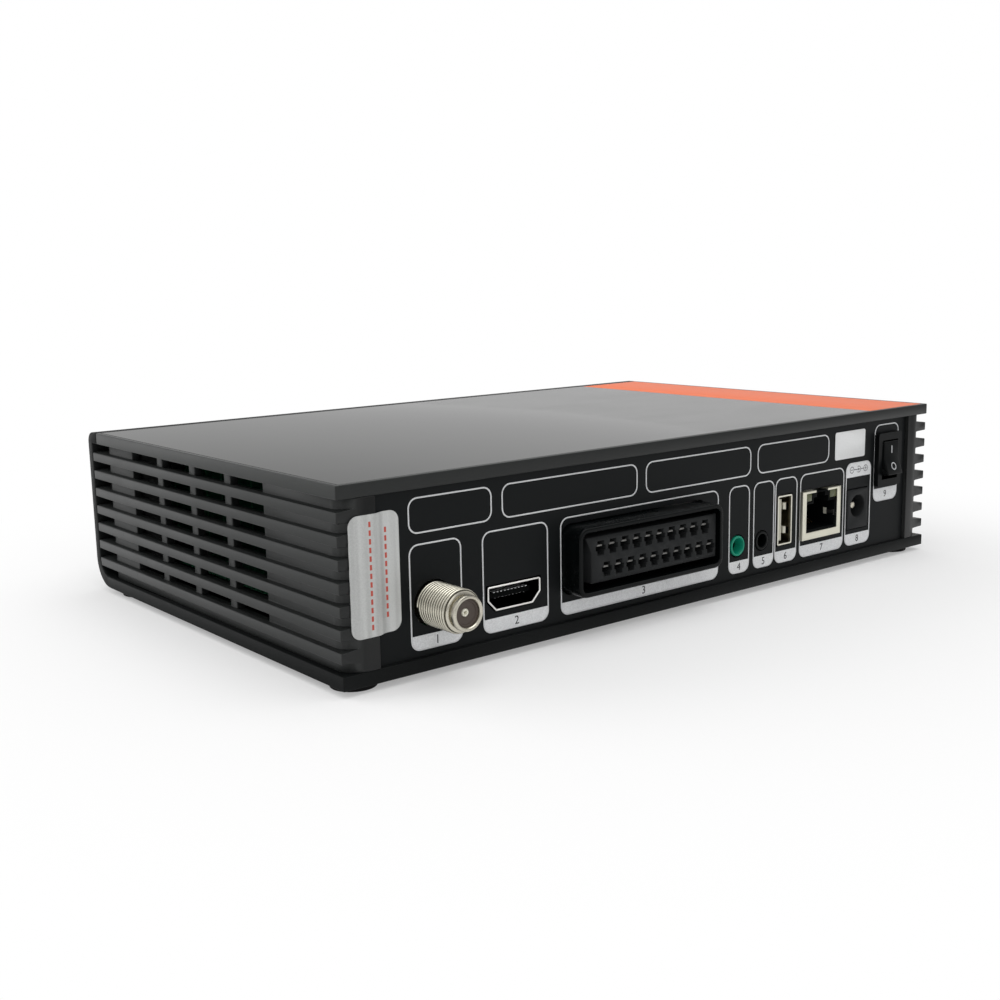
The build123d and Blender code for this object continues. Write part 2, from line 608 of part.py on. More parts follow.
def feet():
    places = {}
    for side, x in (("left", -SIDE_X + FOOT_INSET_X), ("right", SIDE_X - FOOT_INSET_X)):
        for end, y in (("front", FRONT_Y + FOOT_FRONT_INSET), ("rear", REAR_Y - FOOT_REAR_INSET)):
            places[f"foot_{end}_{side}"] = rod_z(FOOT_RADIUS, x, y, 0, FOOT_HEIGHT)
    return places


def case_screws():
    screws = []
    seat = BASE_Z + CASE_SCREW_RECESS
    for x in (-BOSS_X, BOSS_X):
        for y in BOSS_YS:
            head = rod_z(CASE_SCREW_HEAD_RADIUS, x, y, seat - CASE_SCREW_HEAD, seat)
            shank = rod_z(CASE_SCREW_RADIUS, x, y, seat, BASE_Z + BOSS_HEIGHT + CASE_SCREW_GRIP)
            screws.append(head + shank)
    return group(screws)


# ---- rear sockets ---------------------------------------------------------------------------
def hdmi_outline(grow=0.0):
    """Wide at the top, with chamfered lower corners, standing on the board."""
    x = BAY["hdmi"]
    face = closed([(x - HDMI_WIDTH / 2, BOARD_Z + HDMI_HEIGHT),
                   (x - HDMI_WIDTH / 2, BOARD_Z + HDMI_CHAMFER_HEIGHT),
                   (x - HDMI_FOOT_WIDTH / 2, BOARD_Z), (x + HDMI_FOOT_WIDTH / 2, BOARD_Z),
                   (x + HDMI_WIDTH / 2, BOARD_Z + HDMI_CHAMFER_HEIGHT),
                   (x + HDMI_WIDTH / 2, BOARD_Z + HDMI_HEIGHT)])
    return offset(face, amount=grow, kind=Kind.INTERSECTION) if grow else face


def hdmi_parts():
    front = PANEL_Y + HDMI_PROUD
    back = PANEL_INNER_Y - HDMI_DEPTH
    cavity = hdmi_outline(-HDMI_WALL)
    shell = along_y(hdmi_outline(), back, front) - along_y(cavity, back + HDMI_WALL, front)
    plug_seat = along_y(cavity, back + HDMI_WALL, back + HDMI_WALL + SOCKET_BACK)
    tongue_z = BOARD_Z + HDMI_HEIGHT / 2 + HDMI_TONGUE_LIFT
    tongue = block(centred(BAY["hdmi"], HDMI_TONGUE[0]),
                   (back + HDMI_WALL + SOCKET_BACK, front - HDMI_TONGUE_DROP),
                   centred(tongue_z, HDMI_TONGUE[1]))
    return shell, plug_seat + tongue


def aerial_parts():
    can_front = PANEL_INNER_Y - CAN_GAP
    tip = PANEL_Y + AERIAL_REACH
    collar = PANEL_Y + THREAD_LENGTH
    body = rod_y(AERIAL_FLANGE_RADIUS, AERIAL_X, AERIAL_Z, can_front - AERIAL_FLANGE, can_front)
    body &= block(CAN_SPAN, (can_front - CAN_DEPTH, can_front), (BOARD_Z, BOARD_Z + CAN_HEIGHT))
    body += rod_y(AERIAL_NECK_RADIUS, AERIAL_X, AERIAL_Z, can_front, PANEL_Y)
    body += rod_y(THREAD_RADIUS, AERIAL_X, AERIAL_Z, PANEL_Y, collar)
    body += rod_y(AERIAL_NOSE_RADIUS, AERIAL_X, AERIAL_Z, collar, tip)
    bore_end = can_front - AERIAL_FLANGE
    body -= rod_y(AERIAL_BORE_RADIUS, AERIAL_X, AERIAL_Z, bore_end, tip)
    insulator = rod_y(AERIAL_BORE_RADIUS, AERIAL_X, AERIAL_Z, bore_end, tip - AERIAL_FACE_DROP)
    insulator -= rod_y(AERIAL_PIN_RADIUS, AERIAL_X, AERIAL_Z, bore_end + CAN_WALL,
                       tip - AERIAL_FACE_DROP)
    x = CAN_SPAN
    can = block(x, (can_front - CAN_DEPTH, can_front), (BOARD_Z, BOARD_Z + CAN_HEIGHT))
    can -= block((x[0] + CAN_WALL, x[1] - CAN_WALL),
                 (can_front - CAN_DEPTH + CAN_WALL, can_front - AERIAL_FLANGE),
                 (BOARD_Z, BOARD_Z + CAN_HEIGHT - CAN_WALL))
    can -= rod_y(AERIAL_FLANGE_RADIUS, AERIAL_X, AERIAL_Z, can_front - AERIAL_FLANGE, can_front)
    return body, insulator, can


def scart_centre():
    return BAY["scart"] + SCART_OFFSET, BOARD_Z + SCART_HEIGHT / 2


def scart_outline(grow=0.0):
    x, z = scart_centre()
    return rounded(x, z, SCART_WIDTH + 2 * grow, SCART_HEIGHT + 2 * grow, SCART_CORNER + grow)


def scart_core_outline():
    """The insulating core: its +X end slopes in below its top corner."""
    x, _ = scart_centre()
    right = x + SCART_WIDTH / 2 - SCART_WALL - SCART_CORE_GAP
    left = x - SCART_WIDTH / 2 + SCART_WALL + SCART_CORE_GAP / 2
    low = BOARD_Z + SCART_WALL + SCART_CORE_BOTTOM_GAP
    high = BOARD_Z + SCART_HEIGHT - SCART_WALL - SCART_CORE_TOP_GAP
    return closed([(left, low), (right - SCART_CORE_SLANT, low),
                   (right - SCART_CORE_SLANT, high - SCART_CORE_SLANT_HEIGHT), (right, high),
                   (left, high)])


def scart_contact_places():
    """X and Z of the two staggered rows, the lower one half a pitch towards -X."""
    x, _ = scart_centre()
    x -= SCART_CORE_SLANT
    low = BOARD_Z + SCART_WALL + SCART_CORE_BOTTOM_GAP
    high = BOARD_Z + SCART_HEIGHT - SCART_WALL - SCART_CORE_TOP_GAP
    places = []
    for row, shift in ((1, SCART_PITCH / 4), (-1, -SCART_PITCH / 4)):
        z = (low + high) / 2 + row * SCART_ROW_SPACING / 2
        for i in range(SCART_CONTACTS):
            places.append((x + shift + (i - (SCART_CONTACTS - 1) / 2) * SCART_PITCH, z))
    return places


def scart_parts():
    front = PANEL_Y + SCART_PROUD
    back = PANEL_INNER_Y - SCART_DEPTH
    cavity_y = front - SCART_CAVITY
    shell = along_y(scart_outline(), back, front)
    shell -= along_y(scart_outline(-SCART_WALL), cavity_y, front)
    core_front = front - SCART_CORE_DROP
    core = along_y(scart_core_outline(), cavity_y, core_front)
    contacts = []
    for x, z in scart_contact_places():
        slot_y = core_front - SCART_SLOT_DEPTH
        for width, height in (SCART_SLOT, SCART_SLOT_ARM):
            core -= block(centred(x, width), (slot_y, core_front), centred(z, height))
        contacts.append(block(centred(x, SCART_CONTACT_WIDTH),
                              (slot_y, core_front - SCART_CONTACT_DROP),
                              centred(z + SCART_CONTACT_LIFT, SCART_CONTACT_THICK)))
    return shell, core, group(contacts)


def jack_body(x, nose_radius, nose_start, nose_end):
    """A jack socket on the board, with a nose that reaches into the rear wall."""
    z = BOARD_Z + JACK_HEIGHT
    back = PANEL_INNER_Y - JACK_DEPTH
    body = block(centred(x, JACK_BODY[0]), (back, PANEL_INNER_Y), (BOARD_Z, BOARD_Z + JACK_BODY[1]))
    if nose_end > PANEL_INNER_Y:
        body += rod_y(nose_radius, x, z, nose_start, nose_end)
    return body - rod_y(JACK_RADIUS, x, z, back + CAN_WALL, nose_end)


def jack_parts():
    sleeve_end = PANEL_Y + JACK_NOSE_PROUD
    sleeve_start = sleeve_end - JACK_SLEEVE_LENGTH
    av = jack_body(BAY["av"], JACK_NOSE_RADIUS, PANEL_INNER_Y, PANEL_INNER_Y)
    z = BOARD_Z + JACK_HEIGHT
    seat = rod_y(JACK_NOSE_RADIUS, BAY["av"], z, sleeve_start, PANEL_INNER_Y)
    av -= seat
    sleeve = rod_y(JACK_NOSE_RADIUS, BAY["av"], z, sleeve_start, sleeve_end)
    sleeve -= rod_y(JACK_RADIUS, BAY["av"], z, sleeve_start, sleeve_end)
    data = jack_body(BAY["data"], DATA_NOSE_RADIUS, PANEL_INNER_Y, PANEL_Y + DATA_NOSE_PROUD)
    return av, sleeve, data


def usb_outline(grow=0.0):
    return Pos(BAY["usb"], BOARD_Z + USB_HEIGHT / 2) * Rectangle(USB_WIDTH + 2 * grow,
                                                                 USB_HEIGHT + 2 * grow)


def usb_parts():
    front = PANEL_Y + USB_PROUD
    back = PANEL_INNER_Y - USB_DEPTH
    cavity = usb_outline(-USB_WALL)
    shell = along_y(usb_outline(), back, front) - along_y(cavity, back + USB_WALL, front)
    seat = along_y(cavity, back + USB_WALL, back + USB_WALL + SOCKET_BACK)
    tongue = block(centred(BAY["usb"] + USB_TONGUE_SIDE, USB_TONGUE[0]),
                   (back + USB_WALL + SOCKET_BACK, front - USB_TONGUE_DROP),
                   centred(BOARD_Z + USB_HEIGHT / 2, USB_TONGUE[1]))
    return shell, seat + tongue


def ethernet_x():
    return BAY["ethernet"] + ETHERNET_OFFSET


def ethernet_outline(grow=0.0):
    return Pos(ethernet_x(), BOARD_Z + ETHERNET_HEIGHT / 2) * Rectangle(
        ETHERNET_WIDTH + 2 * grow, ETHERNET_HEIGHT + 2 * grow)


def ethernet_parts():
    front = PANEL_Y + ETHERNET_PROUD
    back = PANEL_INNER_Y - ETHERNET_DEPTH
    inner = ethernet_outline(-ETHERNET_WALL)
    x, top = ethernet_x(), BOARD_Z + ETHERNET_HEIGHT
    face = front - ETHERNET_WALL                # front of the insert, behind the frame
    window = (centred(x, ETHERNET_WIDTH - 2 * ETHERNET_RIM), (face, front),
              (BOARD_Z + ETHERNET_SILL, top - ETHERNET_BROW))
    notch_width, notch_depth = ETHERNET_NOTCH
    notch = (centred(x, notch_width), (front - notch_depth, front), (top - ETHERNET_BROW, top))
    insert = along_y(inner, back + ETHERNET_WALL, face)
    shell = along_y(ethernet_outline(), back, front) - insert - block(*window)
    shell -= block(*notch)
    port_y = (front - PORT_DEPTH, face)
    low = BOARD_Z + ETHERNET_WALL + PORT_FLOOR
    z = low + PORT_HEIGHT
    insert -= block(centred(x, PORT_WIDTH), port_y, (low, z))
    insert -= block(centred(x, PORT_KEY[0]), port_y, (z, z + PORT_KEY[1]))
    insert -= block(centred(x, PORT_LATCH[0]), port_y,
                    (z + PORT_KEY[1], z + PORT_KEY[1] + PORT_LATCH[1]))
    lamps = []
    reach = ETHERNET_WIDTH / 2 - ETHERNET_RIM - LAMP_SIZE[0] / 2
    lamp_z = top - ETHERNET_BROW - LAMP_SIZE[1] / 2
    for side in (-reach, reach):
        lamp = block(centred(x + side, LAMP_SIZE[0]), (front - LAMP_DEPTH, face),
                     centred(lamp_z, LAMP_SIZE[1]))
        insert -= lamp
        lamps.append(lamp)
    return shell, insert, group(lamps)


def dc_parts():
    front = PANEL_Y + DC_PROUD
    back = PANEL_INNER_Y - DC_DEPTH
    x, z = BAY["dc"], BOARD_Z + DC_AXIS_HEIGHT
    body = block(centred(x, DC_WIDTH), (back, front), (BOARD_Z, BOARD_Z + DC_HEIGHT))
    bore_end = front - DC_BORE_DEPTH
    body -= rod_y(DC_BORE_RADIUS, x, z, bore_end, front)
    return body, rod_y(DC_PIN_RADIUS, x, z, bore_end, front - DC_PIN_DROP)


# ---- rocker switch --------------------------------------------------------------------------
def switch_housing():
    x, z = SWITCH_X, SWITCH_Z
    frame = along_y(rounded(x, z, SWITCH_FRAME_WIDTH, SWITCH_FRAME_HEIGHT, SWITCH_FRAME_CORNER),
                    PANEL_Y, SWITCH_FACE_Y)
    back = PANEL_Y - SWITCH_BODY_DEPTH
    body = block(centred(x, SWITCH_BODY[0]), (back, PANEL_Y), centred(z, SWITCH_BODY[1]))
    housing = frame + body
    housing -= block(centred(x, ROCKER_WIDTH + 2 * ROCKER_GAP_SIDE),
                     (SWITCH_FACE_Y - SWITCH_CAVITY_DEPTH, SWITCH_FACE_Y),
                     centred(z, 2 * (ROCKER_HALF + ROCKER_GAP_END)))
    reach = ROCKER_WIDTH / 2 + PIVOT_LENGTH + ROCKER_GAP_SIDE
    section = Pos(PIVOT_Y, z) * Circle(PIVOT_RADIUS + PIVOT_CLEARANCE)
    return housing - along_x(section, x - reach, x + reach)


def rocker():
    """The rocker with its upper end pressed in, on two stub pins."""
    face = SWITCH_FACE_Y + ROCKER_END_PROUD
    root = PIVOT_Y - ROCKER_ROOT
    z = SWITCH_Z
    section = closed([(face, z + ROCKER_HALF), (face - ROCKER_DIP, z), (face, z - ROCKER_HALF),
                      (PIVOT_Y, z - ROCKER_HALF), (root, z - ROCKER_HALF / 2),
                      (root, z + ROCKER_HALF / 2), (PIVOT_Y, z + ROCKER_HALF)])
    body = along_x(section, SWITCH_X - ROCKER_WIDTH / 2, SWITCH_X + ROCKER_WIDTH / 2)
    reach = ROCKER_WIDTH / 2 + PIVOT_LENGTH
    body += along_x(Pos(PIVOT_Y, z) * Circle(PIVOT_RADIUS), SWITCH_X - reach, SWITCH_X + reach)
    return body.rotate(Axis((SWITCH_X, PIVOT_Y, SWITCH_Z), (1, 0, 0)), ROCKER_SWING / 2)


def blade_places():
    """Z of the switch's two terminals."""
    return SWITCH_Z - BLADE_SPACING / 2, SWITCH_Z + BLADE_SPACING / 2


def switch_wiring():
    """The two terminals, the header on the board below them and a lead from each to the header."""
    back = PANEL_Y - SWITCH_BODY_DEPTH
    blades, leads = [], []
    header_y = BOARD_REAR_Y - HEADER_INSET
    header_top = BOARD_Z + HEADER[2]
    for side, z in zip((1, -1), blade_places()):
        blades.append(block(centred(SWITCH_X, BLADE[1]), (back - BLADE[2], back),
                            centred(z, BLADE[0])))
        drop_y = header_y + side * LEAD_SPACING / 2
        bend = min(LEAD_BEND, LEAD_BEND_SHARE * (z - header_top))
        path = FilletPolyline((SWITCH_X, back - BLADE[2], z), (SWITCH_X, drop_y, z),
                              (SWITCH_X, drop_y, header_top), radius=bend)
        start = Plane(origin=(SWITCH_X, back - BLADE[2], z), z_dir=(0, -1, 0))
        leads.append(sweep(start * Circle(LEAD_RADIUS), path=path))
    header = block(centred(SWITCH_X, HEADER[0]), centred(header_y, HEADER[1]),
                   (BOARD_Z, header_top))
    return group(blades), group(leads), header


# ---- boards ---------------------------------------------------------------------------------
def main_board():
    board = block((-BOARD_HALF, BOARD_HALF), (BOARD_FRONT_Y, BOARD_REAR_Y),
                  (BOARD_Z - BOARD_THICK, BOARD_Z))
    for x, y in board_screws_at():
        board -= rod_z(BOARD_SCREW_RADIUS + SCREW_CLEAR, x, y, BOARD_Z - BOARD_THICK, BOARD_Z)
    return board


def board_screws():
    screws = []
    for x, y in board_screws_at():
        head = rod_z(BOARD_SCREW_HEAD_RADIUS, x, y, BOARD_Z, BOARD_Z + BOARD_SCREW_HEAD)
        low = BOARD_Z - BOARD_THICK - BOARD_SCREW_GRIP
        screws.append(head + rod_z(BOARD_SCREW_RADIUS, x, y, low, BOARD_Z))
    return group(screws)


def on_board(x, y, size):
    """A box that stands on the main board."""
    return block(centred(x, size[0]), centred(y, size[1]), (BOARD_Z, BOARD_Z + size[2]))


def decoder_parts():
    chip = on_board(CHIP_X, CHIP_Y, (CHIP_SIZE, CHIP_SIZE, CHIP_THICK))
    low = BOARD_Z + CHIP_THICK
    half = SINK_SIZE / 2
    sink = block((CHIP_X - half, CHIP_X + half), (CHIP_Y - half, CHIP_Y + half),
                 (low, low + SINK_BASE))
    step = (SINK_SIZE - SINK_FIN_THICK) / (SINK_FINS - 1)
    for i in range(SINK_FINS):
        x = CHIP_X - half + i * step
        sink += block((x, x + SINK_FIN_THICK), (CHIP_Y - half, CHIP_Y + half),
                      (low + SINK_BASE, low + SINK_HEIGHT))
    return chip, sink


def memory_chips():
    x = CHIP_X + SINK_SIZE / 2 + MEMORY_GAP + MEMORY_SIZE[0] / 2
    return group(on_board(x, CHIP_Y + side * MEMORY_PITCH / 2, MEMORY_SIZE) for side in (-1, 1))


def flash_chip():
    return on_board(FLASH_X, CHIP_Y, FLASH_SIZE)


def crystal():
    width, depth, height = CRYSTAL_SIZE
    y = CHIP_Y - SINK_SIZE / 2 - CRYSTAL_GAP - depth / 2
    return along_z(rounded(CHIP_X, y, width, depth, CRYSTAL_CORNER), BOARD_Z, BOARD_Z + height)


def capacitors():
    cans = []
    y = BOARD_REAR_Y - CAPACITOR_INSET
    for i in range(CAPACITOR_COUNT):
        can = rod_z(CAPACITOR_RADIUS, POWER_X + i * CAPACITOR_PITCH, y, BOARD_Z,
                    BOARD_Z + CAPACITOR_HEIGHT)
        cans.append(fillet(can.edges().sort_by(Axis.Z)[-1], CAPACITOR_RIM))
    return group(cans)


def coils():
    y = BOARD_REAR_Y - COIL_INSET
    sketch = rounded(0, 0, COIL_SIZE[0], COIL_SIZE[1], COIL_CORNER)
    return group(along_z(Pos(POWER_X + i * COIL_PITCH, y) * sketch, BOARD_Z,
                         BOARD_Z + COIL_SIZE[2]) for i in range(COIL_COUNT))


def front_board():
    z = (BASE_Z + FRONT_BOARD_LOW, LID_Z - FRONT_BOARD_TOP_GAP)
    board = block((-FRONT_BOARD_HALF, FRONT_BOARD_HALF), (FRONT_BOARD_Y, FRONT_BOARD_BACK_Y), z)
    for x, post_z in front_posts():
        board -= rod_y(FRONT_SCREW_RADIUS + SCREW_CLEAR, x, post_z, FRONT_BOARD_Y,
                       FRONT_BOARD_BACK_Y)
    return board


def front_board_screws():
    screws = []
    for x, z in front_posts():
        head = rod_y(FRONT_SCREW_HEAD_RADIUS, x, z, FRONT_BOARD_BACK_Y,
                     FRONT_BOARD_BACK_Y + FRONT_SCREW_HEAD)
        screws.append(head + rod_y(FRONT_SCREW_RADIUS, x, z, FRONT_BOARD_Y - FRONT_SCREW_GRIP,
                                   FRONT_BOARD_BACK_Y))
    return group(screws)


def front_window():
    width, height = window_size()
    window = along_y(rounded(0, FRONT_MID_Z, width, height, WINDOW_CORNER), FRONT_Y,
                     FRONT_Y + WINDOW_THICK)
    return window - key_holes(FRONT_Y, FRONT_Y + WINDOW_THICK)


def key(x):
    """A front key: cap, flange behind the wall and the stem that presses its switch."""
    cap = along_y(rounded(x, FRONT_MID_Z, *KEY_SIZE, KEY_CORNER), FRONT_Y - KEY_PROUD,
                  KEY_FLANGE_Y)
    width, height = KEY_SIZE[0] + 2 * KEY_FLANGE, KEY_SIZE[1] + 2 * KEY_FLANGE
    flange = along_y(rounded(x, FRONT_MID_Z, width, height, KEY_CORNER), KEY_FLANGE_Y,
                     KEY_FLANGE_Y + KEY_FLANGE_THICK)
    stem = rod_y(KEY_STEM_RADIUS, x, FRONT_MID_Z, KEY_FLANGE_Y + KEY_FLANGE_THICK, KEY_STEM_END_Y)
    return cap + flange + stem


def key_switches():
    switches = []
    for x in KEY_XS:
        body = block(centred(x, TACT_SIZE), (FRONT_BOARD_Y - TACT_BODY, FRONT_BOARD_Y),
                     centred(FRONT_MID_Z, TACT_SIZE))
        switches.append(body + rod_y(TACT_PLUNGER_RADIUS, x, FRONT_MID_Z, TACT_TIP_Y,
                                     FRONT_BOARD_Y - TACT_BODY))
    return group(switches)


def front_lights():
    """Display, remote receiver and status lamp on the front board, just behind the window."""
    near = FRONT_Y + WINDOW_THICK + DISPLAY_GAP
    display = block(centred(0, DISPLAY_SIZE[0]), (near, FRONT_BOARD_Y),
                    centred(FRONT_MID_Z, DISPLAY_SIZE[1]))
    box_y = INNER_FRONT_Y + DISPLAY_GAP
    receiver = block(centred(RECEIVER_X, RECEIVER_SIZE[0]), (box_y, FRONT_BOARD_Y),
                     centred(FRONT_MID_Z, RECEIVER_SIZE[1]))
    receiver += rod_y(RECEIVER_LENS_RADIUS, RECEIVER_X, FRONT_MID_Z, near, box_y)
    lamp = rod_y(STATUS_LAMP_RADIUS, STATUS_LAMP_X, FRONT_MID_Z, near, FRONT_BOARD_Y)
    return display, receiver, lamp


def ribbon_parts():
    """A flat cable from the back of the front board down to the main board, and its sockets."""
    width, thick, height = RIBBON_SOCKET
    level = BOARD_Z + RIBBON_HEIGHT
    exit_y = FRONT_BOARD_BACK_Y + height
    drop_y = BOARD_FRONT_Y + RIBBON_INSET
    top = BOARD_Z + height
    upper = block(centred(0, width), (FRONT_BOARD_BACK_Y, exit_y), centred(level, thick))
    lower = block(centred(0, width), centred(drop_y, thick), (BOARD_Z, top))
    half = RIBBON_THICK / 2
    centre_y, centre_z = drop_y - RIBBON_BEND, level - RIBBON_BEND
    run = Pos((exit_y + centre_y) / 2, level) * Rectangle(centre_y - exit_y, RIBBON_THICK)
    fall = Pos(drop_y, (top + centre_z) / 2) * Rectangle(RIBBON_THICK, centre_z - top)
    bend = Pos(centre_y, centre_z) * (Circle(RIBBON_BEND + half) - Circle(RIBBON_BEND - half))
    quarter = Pos(centre_y + RIBBON_BEND, centre_z + RIBBON_BEND) * Rectangle(
        2 * RIBBON_BEND, 2 * RIBBON_BEND)
    cable = along_x(run + (bend & quarter) + fall, *centred(0, RIBBON_WIDTH))
    return cable, group([upper, lower])


# ---- stickers -------------------------------------------------------------------------------
def seal_sticker():
    """A sticker that crosses the joint between the +X post and the rear wall."""
    z1 = LID_Z - SEAL_LID_GAP
    z0 = z1 - SEAL_HEIGHT
    x0, x1 = POST_X - SEAL_ON_PANEL, POST_X + SEAL_ON_POST
    thick = STICKER_THICK
    section = closed([(x0, PANEL_Y), (POST_X - SEAL_FOLD, PANEL_Y), (POST_X, REAR_Y),
                      (x1, REAR_Y), (x1, REAR_Y + thick), (POST_X - thick / 2, REAR_Y + thick),
                      (POST_X - SEAL_FOLD - thick / 2, PANEL_Y + thick), (x0, PANEL_Y + thick)])
    sheet = along_z(section, z0, z1)
    outline = rounded((x0 + x1) / 2, (z0 + z1) / 2, x1 - x0, z1 - z0, SEAL_CORNER)
    return sheet & along_y(outline, PANEL_Y - PANEL_THICK, REAR_Y + PANEL_THICK)


def rating_label():
    z = LID_Z - LABEL_LID_GAP - LABEL_SIZE[1] / 2
    return along_y(rounded(BAY["dc"] + LABEL_OFFSET, z, *LABEL_SIZE, LABEL_CORNER), PANEL_Y,
                   PANEL_Y + STICKER_THICK)


# ---- assembly -------------------------------------------------------------------------------
def receiver_parts():
    parts = {"base_tray": base_tray(), "top_cover": top_cover(), "rear_wall": rear_wall()}
    parts["lid_inlay"], parts["accent_strip"] = inlays()
    parts["louvre_panel_right"] = louvre_panel()
    parts["louvre_panel_left"] = mirrored(parts["louvre_panel_right"])
    parts.update(feet())
    parts["case_screws"] = case_screws()
    parts["main_board"] = main_board()
    parts["board_screws"] = board_screws()
    parts["aerial_socket"], parts["aerial_insulator"], parts["tuner_can"] = aerial_parts()
    parts["hdmi_shell"], parts["hdmi_tongue"] = hdmi_parts()
    parts["scart_shell"], parts["scart_core"], parts["scart_contacts"] = scart_parts()
    parts["av_jack"], parts["av_jack_sleeve"], parts["data_jack"] = jack_parts()
    parts["usb_shell"], parts["usb_tongue"] = usb_parts()
    parts["ethernet_shell"], parts["ethernet_insert"], parts["ethernet_lamps"] = ethernet_parts()
    parts["dc_socket"], parts["dc_pin"] = dc_parts()
    parts["switch_housing"] = switch_housing()
    parts["switch_rocker"] = rocker()
    parts["switch_terminals"], parts["switch_leads"], parts["switch_header"] = switch_wiring()
    parts["decoder_chip"], parts["heat_sink"] = decoder_parts()
    parts["memory_chips"] = memory_chips()
    parts["flash_chip"] = flash_chip()
    parts["crystal"] = crystal()
    parts["capacitors"] = capacitors()
    parts["coils"] = coils()
    parts["front_board"] = front_board()
    parts["front_board_screws"] = front_board_screws()
    parts["front_window"] = front_window()
    for name, x in zip(KEY_NAMES, KEY_XS):
        parts[f"key_{name}"] = key(x)
    parts["key_switches"] = key_switches()
    parts["display_module"], parts["remote_receiver"], parts["status_lamp"] = front_lights()
    parts["ribbon_cable"], parts["ribbon_sockets"] = ribbon_parts()
    parts["seal_sticker"] = seal_sticker()
    parts["rating_label"] = rating_label()
    return parts


os.makedirs("parts", exist_ok=True)
for node, shape in receiver_parts().items():
    export_step(shape, f"parts/{node}.step")
print("pivot of the rocker", SWITCH_X, PIVOT_Y, SWITCH_Z)
print("aerial axis", AERIAL_X, AERIAL_Z, "jack axes", BAY["av"], BAY["data"], BOARD_Z + JACK_HEIGHT)
print("rear", REAR_Y, "rear wall", PANEL_Y, "front", FRONT_Y, "bays", BAY)
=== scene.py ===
"""Looks of a satellite television receiver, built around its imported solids.

Metres, +X towards the aerial socket's side, +Y out of the rear wall, +Z up. Sizes of the object's
own pieces are given in millimetres and turned into metres where a mesh is made.
"""

import json
import logging
import math
from collections.abc import Callable, Iterable, Mapping, Sequence
from dataclasses import dataclass
from enum import Enum
from functools import cache
from typing import ClassVar

import bmesh
import bpy
from mathutils import Euler, Matrix, Vector


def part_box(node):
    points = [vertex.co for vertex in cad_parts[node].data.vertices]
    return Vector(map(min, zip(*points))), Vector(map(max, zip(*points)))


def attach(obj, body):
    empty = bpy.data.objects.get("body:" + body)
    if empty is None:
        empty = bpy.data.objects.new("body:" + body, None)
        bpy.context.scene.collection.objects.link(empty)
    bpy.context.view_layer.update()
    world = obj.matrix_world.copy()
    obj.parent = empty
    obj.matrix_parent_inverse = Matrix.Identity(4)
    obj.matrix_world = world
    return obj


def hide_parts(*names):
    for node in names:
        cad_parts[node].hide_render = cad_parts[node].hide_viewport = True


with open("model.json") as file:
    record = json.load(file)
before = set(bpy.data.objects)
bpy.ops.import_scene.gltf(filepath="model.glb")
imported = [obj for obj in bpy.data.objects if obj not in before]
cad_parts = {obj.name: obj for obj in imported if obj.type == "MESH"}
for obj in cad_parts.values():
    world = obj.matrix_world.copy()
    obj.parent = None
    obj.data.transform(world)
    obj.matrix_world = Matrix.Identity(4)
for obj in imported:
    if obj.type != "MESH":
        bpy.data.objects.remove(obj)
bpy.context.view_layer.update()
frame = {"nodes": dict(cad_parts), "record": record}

MM = 0.001
CASE = "case"
OWN = "finish_"      # keeps these materials apart from the frame's plain ones
Colour = tuple[float, float, float]
Point = tuple[float, float, float]
log = logging.getLogger("receiver")


def box_mm(node: str) -> tuple[Vector, Vector]:
    """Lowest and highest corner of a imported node, in millimetres."""
    low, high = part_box(node)
    return Vector(low) / MM, Vector(high) / MM


def middle_mm(node: str) -> Vector:
    """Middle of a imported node's box, in millimetres."""
    low, high = box_mm(node)
    return (low + high) / 2


WALL_Y = box_mm("rear_wall")[1].y    # the rear wall's outer face
SHARP = math.radians(32)             # the bend from which an edge is shaded sharp
FLAT = math.radians(0.5)             # the bend below which two faces count as one


# ---- node trees -----------------------------------------------------------------------------
class Wire:
    """A socket of a node tree that takes part in sums like a number."""

    def __init__(self, tree: "Tree", socket: bpy.types.NodeSocket) -> None:
        """Keeps the tree that new nodes are added to."""
        self.tree = tree
        self.socket = socket

    def __add__(self, other: "Wire | float") -> "Wire":
        """Sum."""
        return self.tree.math("ADD", self, other)

    def __sub__(self, other: "Wire | float") -> "Wire":
        """Difference."""
        return self.tree.math("SUBTRACT", self, other)

    def __rsub__(self, other: "Wire | float") -> "Wire":
        """Difference from a number."""
        return self.tree.math("SUBTRACT", other, self)

    def __mul__(self, other: "Wire | float") -> "Wire":
        """Product."""
        return self.tree.math("MULTIPLY", self, other)

    __radd__ = __add__
    __rmul__ = __mul__


